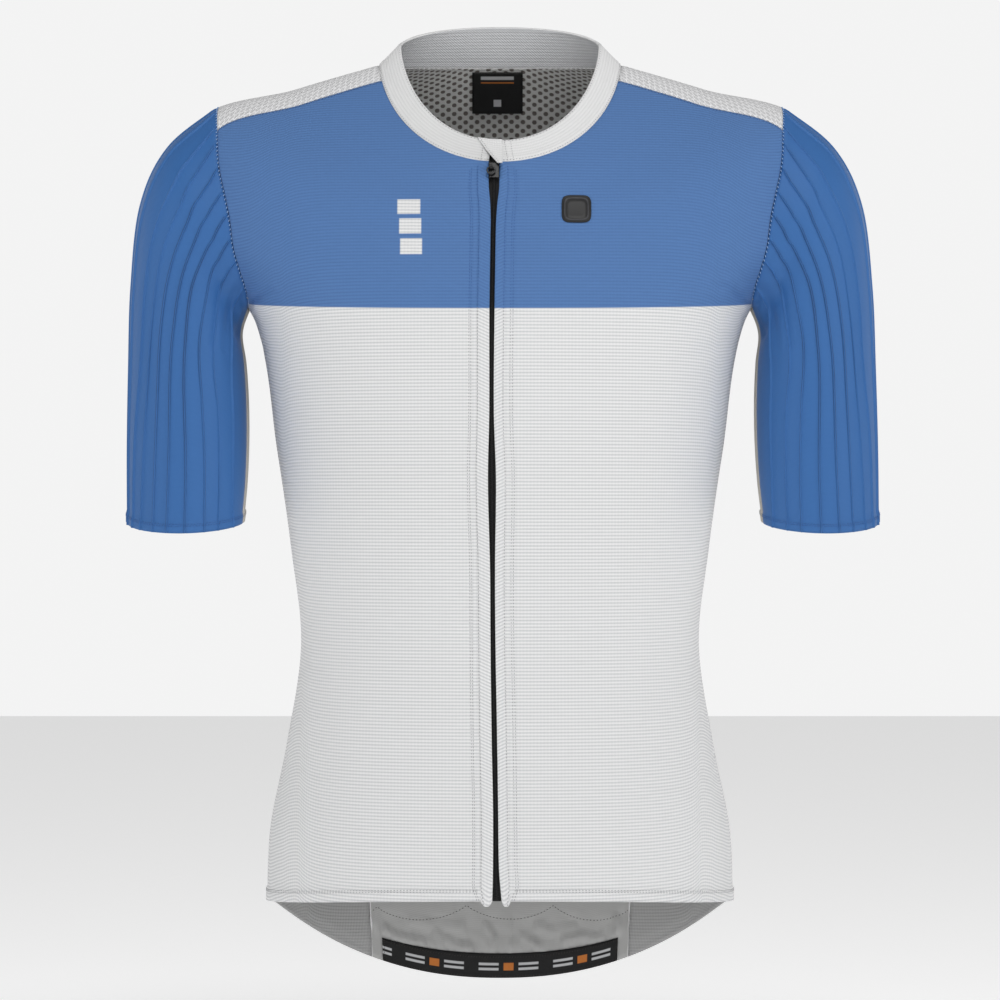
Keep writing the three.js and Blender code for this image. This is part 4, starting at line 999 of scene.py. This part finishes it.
# %% Zip tape
SEAM = 0.3
STRIP = 1.0
COIL_WIDTH = 2.6
TOOTH_PITCH = 1.3
TAPE_HALF, TAPE_HALF_AT_COLLAR = 9.9, 9.5

placket_column = int(np.argmin(np.abs(FOLD_COLUMNS - TAPE_HALF))) + 1
zip_rows = len(zip_levels)
sides = []
for name, side in (("left", 1), ("right", -1)):
    base = mirrored(fronts[name]["base"][:zip_rows], side)
    normals = mirrored(fronts[name]["normals"][:zip_rows], side)
    end_column = 0 if side == 1 else -1
    beside = 1 if side == 1 else -2
    rows = slice(2, COLLAR_UP - 1)
    collar_edge = collar_base[rows, end_column]
    along = collar_base[rows, beside] - collar_edge
    along /= np.linalg.norm(along, axis=-1, keepdims=True)
    sides.append({
        "edge": np.concatenate([base[:, 0], collar_edge]),
        "far": np.concatenate([base[:, placket_column], collar_edge + along * TAPE_HALF_AT_COLLAR]),
        "normal": np.concatenate([normals[:, 0], collar_normals[rows, end_column]]),
    })
thickness = np.concatenate([np.full(zip_rows, CLOTH), np.full(COLLAR_UP - 3, COLLAR_CLOTH)])
tape_middle = (sides[0]["edge"] + sides[1]["edge"]) / 2
tape_normal = sides[0]["normal"] + sides[1]["normal"]
tape_normal /= np.linalg.norm(tape_normal, axis=-1, keepdims=True)
tape_across = sides[0]["edge"] - sides[1]["edge"]
tape_across /= np.linalg.norm(tape_across, axis=-1, keepdims=True)
columns = [
    sides[0]["far"], (sides[0]["far"] + sides[0]["edge"]) / 2, sides[0]["edge"],
    tape_middle, sides[1]["edge"], (sides[1]["far"] + sides[1]["edge"]) / 2, sides[1]["far"],
]
tape_points = np.stack(columns, 1) - (tape_normal * (thickness + SEAM)[:, None])[:, None]
cloth("zip", tape_points, flat_map(tape_points), ["tape"], axis_of(tape_points), STRIP)

# %% Zip coil
coil_path = tape_middle - tape_normal * (thickness * 0.72)[:, None]
coil_along = lengths(coil_path)
teeth = np.arange(1, coil_along[-1] - 1, TOOTH_PITCH / 2)


def read_path(points, along, wanted):
    """Points of a path at distances along it."""
    return np.stack([np.interp(wanted, along, points[:, k]) for k in range(3)], -1)


ROD_BATCH = 150


def rods(name, centres, directions, normals, sizes, material):
    """Small rounded rods, each with a centre, a direction, a normal and a half size along, across, out.
    They are made in batches, because one growing mesh would be slow."""
    pieces = bmesh.new()
    for start in range(0, len(centres), ROD_BATCH):
        bm = bmesh.new()
        batch = [each[start:start + ROD_BATCH] for each in (centres, directions, normals)]
        for centre, direction, normal in zip(*batch):
            along = Vector(direction).normalized()
            out = Vector(normal)
            out = (out - along * out.dot(along)).normalized()
            turn = Matrix((along, out.cross(along), out)).transposed().to_4x4()
            place = Matrix.Translation(Vector(centre) * MM) @ turn
            size = Matrix.Diagonal([*(value * MM for value in sizes), 1])
            bmesh.ops.create_icosphere(bm, subdivisions=1, radius=1, matrix=place @ size)
        block = bpy.data.meshes.new("block")
        bm.to_mesh(block)
        bm.free()
        pieces.from_mesh(block)
        bpy.data.meshes.remove(block)
    print(name, "rods:", len(centres), "faces:", len(pieces.faces))
    return finish_piece(name, pieces, [material])


tooth_at = read_path(coil_path, coil_along, teeth)
tooth_out = read_path(tape_normal, coil_along, teeth)
tooth_across = read_path(tape_across, coil_along, teeth)
sign = np.where(np.arange(len(teeth)) % 2 == 0, 1, -1)[:, None]
rods("zip_coil", tooth_at + tooth_across * sign * 0.35, tooth_across, tooth_out,
     (COIL_WIDTH / 2 - 0.15, 0.34, 0.5), "coil")

# %% [markdown]
# ## Elastic, label and guard
#
# A black elastic inside the back hem grips the hips. A satin label hangs inside the neck, and a small
# flap of collar cloth folds over the top of the zip so that it can't chafe.

# %% Gripper elastic
foot_rows = LOW * POCKET_FOOT / seam_length
elastic_rows = np.linspace(0, foot_rows, 13)
elastic_columns = np.linspace(BACK_ACROSS / 20, BACK_ACROSS * 19 / 20, 200)
row_spots = smooth(back_spots, elastic_rows)
elastic_spots = np.moveaxis(smooth(np.moveaxis(row_spots, 1, 0), elastic_columns), 0, 1)
elastic_base = trunk(elastic_spots)
elastic_normals = normals_of(elastic_base, axis_of(elastic_base))
elastic_points = elastic_base - elastic_normals * (CLOTH + SEAM)
cloth("gripper", elastic_points, flat_map(elastic_points), ["elastic"],
      axis_of(elastic_base), STRIP)

# %% Neck label
LABEL_WIDTH, LABEL_LEVELS, LABEL_X = 40, 1.1, -2
label_levels = NECK - 0.09 - np.linspace(0, 1, 25)[:, None] * LABEL_LEVELS
label_x = LABEL_X + LABEL_WIDTH / 2 - np.linspace(0, 1, 25)[None] * LABEL_WIDTH
label_ring = smooth(RINGS, label_levels + 0 * label_x)
label_angle = np.degrees(np.arcsin((np.abs(label_x) / label_ring[..., 0]) ** (label_ring[..., 6] / 2)))
label_spots = np.stack([180 - np.sign(label_x) * label_angle, label_levels + 0 * label_x], -1)
label_base = trunk(label_spots)
label_normals = normals_of(label_base, axis_of(label_base))
label_points = label_base - label_normals * (CLOTH + 1)
cloth("neck_label", label_points, flat_map(label_points), ["label"],
      axis_of(label_base), 0.6)

# %% Zip guard
GUARD_EDGE, GUARD_WIDTH, GUARD_TIP, GUARD_REACH, GUARD_LIFT = 1.5, 17, 3, 1.19, 3.4
down = np.linspace(0, 1, 25)[:, None]
guard_width = GUARD_WIDTH * (1 - down) + GUARD_TIP * down
guard_x = GUARD_EDGE - guard_width * np.linspace(0, 1, 15)[None]
guard_share = 0.97 - down * GUARD_REACH + 0 * guard_x
ring_width = RINGS[-1, 0] + (COLLAR_TOP[0] - RINGS[-1, 0]) * guard_share
guard_spots = np.stack([np.degrees(np.arcsin(guard_x / ring_width)), guard_share], -1)
guard_base = collar(guard_spots)
guard_inside = guard_base * np.array((1, 0, 1))
guard_normals = normals_of(guard_base, guard_inside)
guard_lift = SEAM + GUARD_LIFT * down ** 1.4 + STRIP
guard_points = guard_base + guard_normals * guard_lift[..., None]
cloth("zip_garage", guard_points, flat_map(guard_points), ["collar"],
      guard_inside, STRIP)

# %% [markdown]
# ## Sewing
#
# Every seam shows its thread. A stitch is a small rounded rod that follows the finished surface, and a
# row of them runs beside an edge of a piece at the distance a machine would sew. Threads on the blue
# cloth are dyed. Threads on the white cloth are pale, and are drawn grey as painted shade in and
# between their needle holes. The armholes are closed by slanted loops.

# %% Stitch rows
EDGES = {"left": 0, "right": 1, "bottom": 2, "top": 3}
TAIL_ROW = 40
THREAD, FINE_THREAD, LOOP = (0.75, 0.3, 0.28), (0.6, 0.24, 0.22), (1.15, 0.42, 0.38)


def traced(points, outward, distance, wanted):
    """Where a distance, growing along each row of a grid, has a value: the points and normals."""
    found = []
    for values in (points, outward):
        rows = [[np.interp(wanted, d, row[:, k]) for k in range(3)] for d, row in zip(distance, values)]
        found.append(np.array(rows))
    return found


def beside(node, edge, inset, part=slice(None)):
    """A path on a piece, an inset from one of its edges. part keeps some of its places."""
    points, outward = PIECES[node]
    distance = from_edges(points)[EDGES[edge]]
    grids = [points, outward, distance]
    if edge in ("bottom", "top"):
        grids = [grid.swapaxes(0, 1) for grid in grids]
    if edge in ("right", "top"):
        grids = [grid[:, ::-1] for grid in grids]
    path, out = traced(*grids, inset)
    return path[part], out[part]


def stitches(path, out, pitch, slant=0.0, rise=0.12):
    """Centres, directions and normals of stitches along a path. slant turns them across it."""
    along = lengths(path)
    places = np.arange(pitch / 2, along[-1], pitch)
    centres, normals = read_path(path, along, places), read_path(out, along, places)
    ahead = read_path(path, along, places + 0.4) - read_path(path, along, places - 0.4)
    ahead /= np.linalg.norm(ahead, axis=-1, keepdims=True)
    normals /= np.linalg.norm(normals, axis=-1, keepdims=True)
    return centres + normals * rise, ahead + np.cross(normals, ahead) * slant, normals


def sew(name, rows, size, material, chosen=None):
    """One piece from rows of stitches. chosen, given their centres, says which of them it has."""
    centres, directions, normals = (np.concatenate(each) for each in zip(*rows))
    if chosen is not None:
        keep = chosen(centres)
        centres, directions, normals = centres[keep], directions[keep], normals[keep]
    rods(name, centres, directions, normals, size, material)


def on_yoke(centres):
    """Whether places of the front are in its blue yoke."""
    return centres[:, 2] - PRINT_SLOPE * centres[:, 1] > PRINT_HEIGHT / MM


def below_yoke(centres):
    """Whether places of the front are in its white part."""
    return ~on_yoke(centres)


# %% Threads
zip_part = slice(0, zip_rows)
low_part = slice(2, LOW + 1)
front_rows, seam_rows, hem_rows, cuff_rows, loop_rows, under_rows = [], [], [], [], [], []
for side, other in (("left", 1), ("right", -1)):
    front, panel = "front_" + side, "side_back_" + side
    main, under = "sleeve_" + side, "sleeve_under_" + side
    front_rows.append(stitches(*beside(front, "left", LIP_WIDTH[side] + 0.2, zip_part), 2.4))
    for place in TAPE_ROWS[side]:
        front_rows.append(stitches(*beside(front, "left", place, zip_part), 2.4, rise=0))
    front_rows.append(stitches(*beside(front, "top", 1.6), 2.6))
    seam_rows.append(stitches(*beside(front, "right", 1.8, low_part), 2.6))
    seam_rows.append(stitches(*beside(panel, "right", 1.8, low_part), 2.6))
    for inset in (7.2, 8.6):
        hem_rows.append(stitches(*beside(front, "bottom", inset, slice(18, None)), 2.5))
        hem_rows.append(stitches(*beside(panel, "bottom", inset), 2.5))
    for inset in (5.4, 6.8):
        cuff_rows.append(stitches(*beside(main, "bottom", inset), 2.3))
        under_rows.append(stitches(*beside(under, "bottom", inset), 2.3))
    loop_rows.append(stitches(*beside(main, "top", 0.7), 3.4, slant=0.75 * other, rise=0.6))
    under_rows.append(stitches(*beside(under, "top", 0.6), 3.2, slant=0.6 * other, rise=0.3))
sew("front_white_stitches", front_rows, THREAD, "white_thread_painted_shade", below_yoke)
sew("front_blue_stitches", front_rows, THREAD, "deep_thread", on_yoke)
sew("side_seam_stitches", seam_rows, THREAD, "white_thread_painted_shade")
sew("hem_stitches", hem_rows, THREAD, "white_thread_painted_shade")
sew("cuff_stitches", cuff_rows, THREAD, "deep_thread")
sew("underarm_stitches", under_rows, THREAD, "white_thread_painted_shade")
sew("armhole_loops", loop_rows, LOOP, "blue_thread")

collar_rows = [
    stitches(*beside("collar", "bottom", 1.4), 2.4), stitches(*beside("collar", "top", 1.6), 2.8),
    stitches(*beside("collar", "left", 6.5), 2.2), stitches(*beside("collar", "left", 11), 2.2),
    stitches(*beside("collar", "right", 6), 2.2),
    stitches(*beside("zip_garage", "right", 1.4), 2.2),
]
sew("collar_stitches", collar_rows, FINE_THREAD, "white_thread_painted_shade")

pocket_rows = []
for inset in (1.5, 7.6):
    pocket_rows.append(stitches(*beside("pockets", "top", inset), 2.5))
pocket_rows.append(stitches(*beside("pockets", "bottom", 1.5), 2.5))
for edge in ("left", "right"):
    pocket_rows.append(stitches(*beside("pockets", edge, 1.5), 2.5))
pocket_points, pocket_out = PIECES["pockets"]
for share in (1 / 3, 2 / 3):
    column = round(share * (pocket_points.shape[1] - 1))
    pocket_rows.append(stitches(pocket_points[:, column], pocket_out[:, column], 2.5))
sew("pocket_stitches", pocket_rows, THREAD, "white_thread_painted_shade")

back_points, back_out = PIECES["back"]
height = back_points[..., 2] - scallop
inside_tail = np.abs(back_points[TAIL_ROW, :, 0]) < TAIL_HALF
tail_grids = [grid.swapaxes(0, 1)[inside_tail] for grid in (back_points, back_out, height)]
path, out = traced(*tail_grids, -1.0)
tail_rows = [stitches(path - out * CLOTH, -out, 2.8)]
for inset in (1.2, 16.6):
    path, out = beside("gripper", "bottom", inset)
    tail_rows.append(stitches(path - out * STRIP, -out, 2.2, slant=1.0))
for edge in ("left", "right"):
    path, out = beside("gripper", edge, 1.0)
    tail_rows.append(stitches(path - out * STRIP, -out, 1.6, slant=2.5, rise=0.3))
path, out = beside("neck_label", "bottom", 1.0)
tail_rows.append(stitches(path - out * 0.6, -out, 2.4))
sew("tail_and_label_stitches", tail_rows, THREAD, "dark_thread")

# %% [markdown]
# ## Chest patch
#
# A small rubber patch is pressed on the yoke: a plain dark rounded square with a raised rim. It bends
# with the cloth, whose surface near it is matched by a smooth curve in x and z.

# %% Patch
PATCH_MIDDLE, PATCH_HALF = (57.4, -90.6), (11.2, 10.6)
PATCH_RINGS = [(1, -0.5), (1, 0.35), (0.985, 0.75), (0.95, 0.95), (0.84, 1), (0.82, 1.25), (0.75, 1.25),
               (0.73, 1), (0.5, 1.02), (0.25, 1.05), (0, 1.05)]
PATCH_AROUND = 72
PATCH_SQUARE = 0.45


def curve_terms(x, z):
    """The terms of a smooth curve in x and z."""
    return np.stack([np.ones_like(x), x, z, x * x, x * z, z * z], -1)


front_points, _ = PIECES["front_left"]
offsets = front_points[..., [0, 2]] - PATCH_MIDDLE
near_patch = front_points[np.abs(offsets).max(axis=-1) < 16]
terms = curve_terms(near_patch[:, 0] - PATCH_MIDDLE[0], near_patch[:, 2] - PATCH_MIDDLE[1])
bend = np.linalg.lstsq(terms, near_patch[:, 1], rcond=None)[0]

bm = bmesh.new()
bmesh.ops.create_grid(bm, x_segments=PATCH_AROUND, y_segments=len(PATCH_RINGS) - 1, size=0.5)
ring_of = {}
for vertex in bm.verts:
    ring = round((vertex.co.y + 0.5) * (len(PATCH_RINGS) - 1))
    turn = (vertex.co.x + 0.5) * 2 * math.pi
    ring_of[vertex] = ring
    share, rise = PATCH_RINGS[ring]
    corner = [math.copysign(abs(value) ** PATCH_SQUARE, value) for value in (math.cos(turn), math.sin(turn))]
    x, z = PATCH_HALF[0] * corner[0] * share, PATCH_HALF[1] * corner[1] * share
    y = float(curve_terms(np.array(x), np.array(z)) @ bend) - rise
    vertex.co = Vector((PATCH_MIDDLE[0] + x, y, PATCH_MIDDLE[1] + z)) * MM
for face in bm.faces:
    face.material_index = int(4 <= min(ring_of[vertex] for vertex in face.verts) <= 6)
bmesh.ops.remove_doubles(bm, verts=bm.verts, dist=1e-6)
rim = [edge for edge in bm.edges if edge.is_boundary]
bmesh.ops.holes_fill(bm, edges=rim, sides=PATCH_AROUND + 1)
bmesh.ops.recalc_face_normals(bm, faces=bm.faces)
print("patch faces:", len(bm.faces))
finish_piece("chest_patch", bm, ["patch", "patch_edge"])

# %% [markdown]
# ## Slider and pull
#
# The slider and its wire ring are shaped right in the frame, so they keep their meshes and only get a
# finish of black lacquer on cast zinc.

# %% Metal
for node in ("slider", "pull"):
    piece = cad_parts[node]
    for holder in piece.material_slots:
        holder.material = FINISHES["metal"]
    print(node, "faces:", len(piece.data.polygons))

# %% [markdown]
# ## Stage and light
#
# A pale floor well below the garment and large soft lights give the even, slightly top-lit look of a
# catalogue picture. The surroundings glow palely near the horizon, like white studio walls, and are
# dimmer above and below, so that folds and ribs keep some shade.

# %% Floor and lights
FLOOR_HEIGHT = -0.78
bm = bmesh.new()
bmesh.ops.create_grid(bm, x_segments=8, y_segments=8, size=6)
bmesh.ops.translate(bm, verts=bm.verts, vec=(0, 0, FLOOR_HEIGHT))
floor_mesh = bpy.data.meshes.new("floor")
bm.to_mesh(floor_mesh)
bm.free()
floor_material, _, floor_shader = new_material("pale_studio_floor", 0.9)
floor_shader.inputs["Base Color"].default_value = linear("#f2f2f2")
floor_shader.inputs["Emission Color"].default_value = linear("#ffffff")
floor_shader.inputs["Emission Strength"].default_value = 0.46
floor_mesh.materials.append(floor_material)
floor = bpy.data.objects.new("floor", floor_mesh)
bpy.context.scene.collection.objects.link(floor)

world = bpy.data.worlds.new("studio")
bpy.context.scene.world = world
world.use_nodes = True
world_tree = world.node_tree
sky = add_node(world_tree, "SeparateXYZ", [add_node(world_tree, "TexCoord").outputs["Generated"]])
steep = add_node(world_tree, "Math", [sky.outputs[2]], operation="ABSOLUTE")
glow = add_node(world_tree, "MapRange", {0: steep, 1: 0.14, 2: 0.36, 3: 0.9, 4: 0.2})
world_tree.nodes["Background"].inputs["Color"].default_value = (1, 1, 1, 1)
world_tree.links.new(glow.outputs[0], world_tree.nodes["Background"].inputs["Strength"])
bpy.context.scene.view_settings.view_transform = "Standard"


def soft_light(name, place, target, size, power):
    """A large square light that points at a target."""
    lamp = bpy.data.lights.new(name, "AREA")
    lamp.size = size
    lamp.energy = power
    light = bpy.data.objects.new(name, lamp)
    bpy.context.scene.collection.objects.link(light)
    light.location = place
    light.rotation_euler = (Vector(target) - Vector(place)).to_track_quat("-Z", "Y").to_euler()


soft_light("key", (0.3, -1.8, 2.3), (0, 0, -0.15), 1.0, 34)
soft_light("left", (-2.4, -1.4, 0.5), (0, 0, -0.35), 0.9, 9)
soft_light("right", (2.4, -1.6, 0.6), (0, 0, -0.35), 0.9, 13)
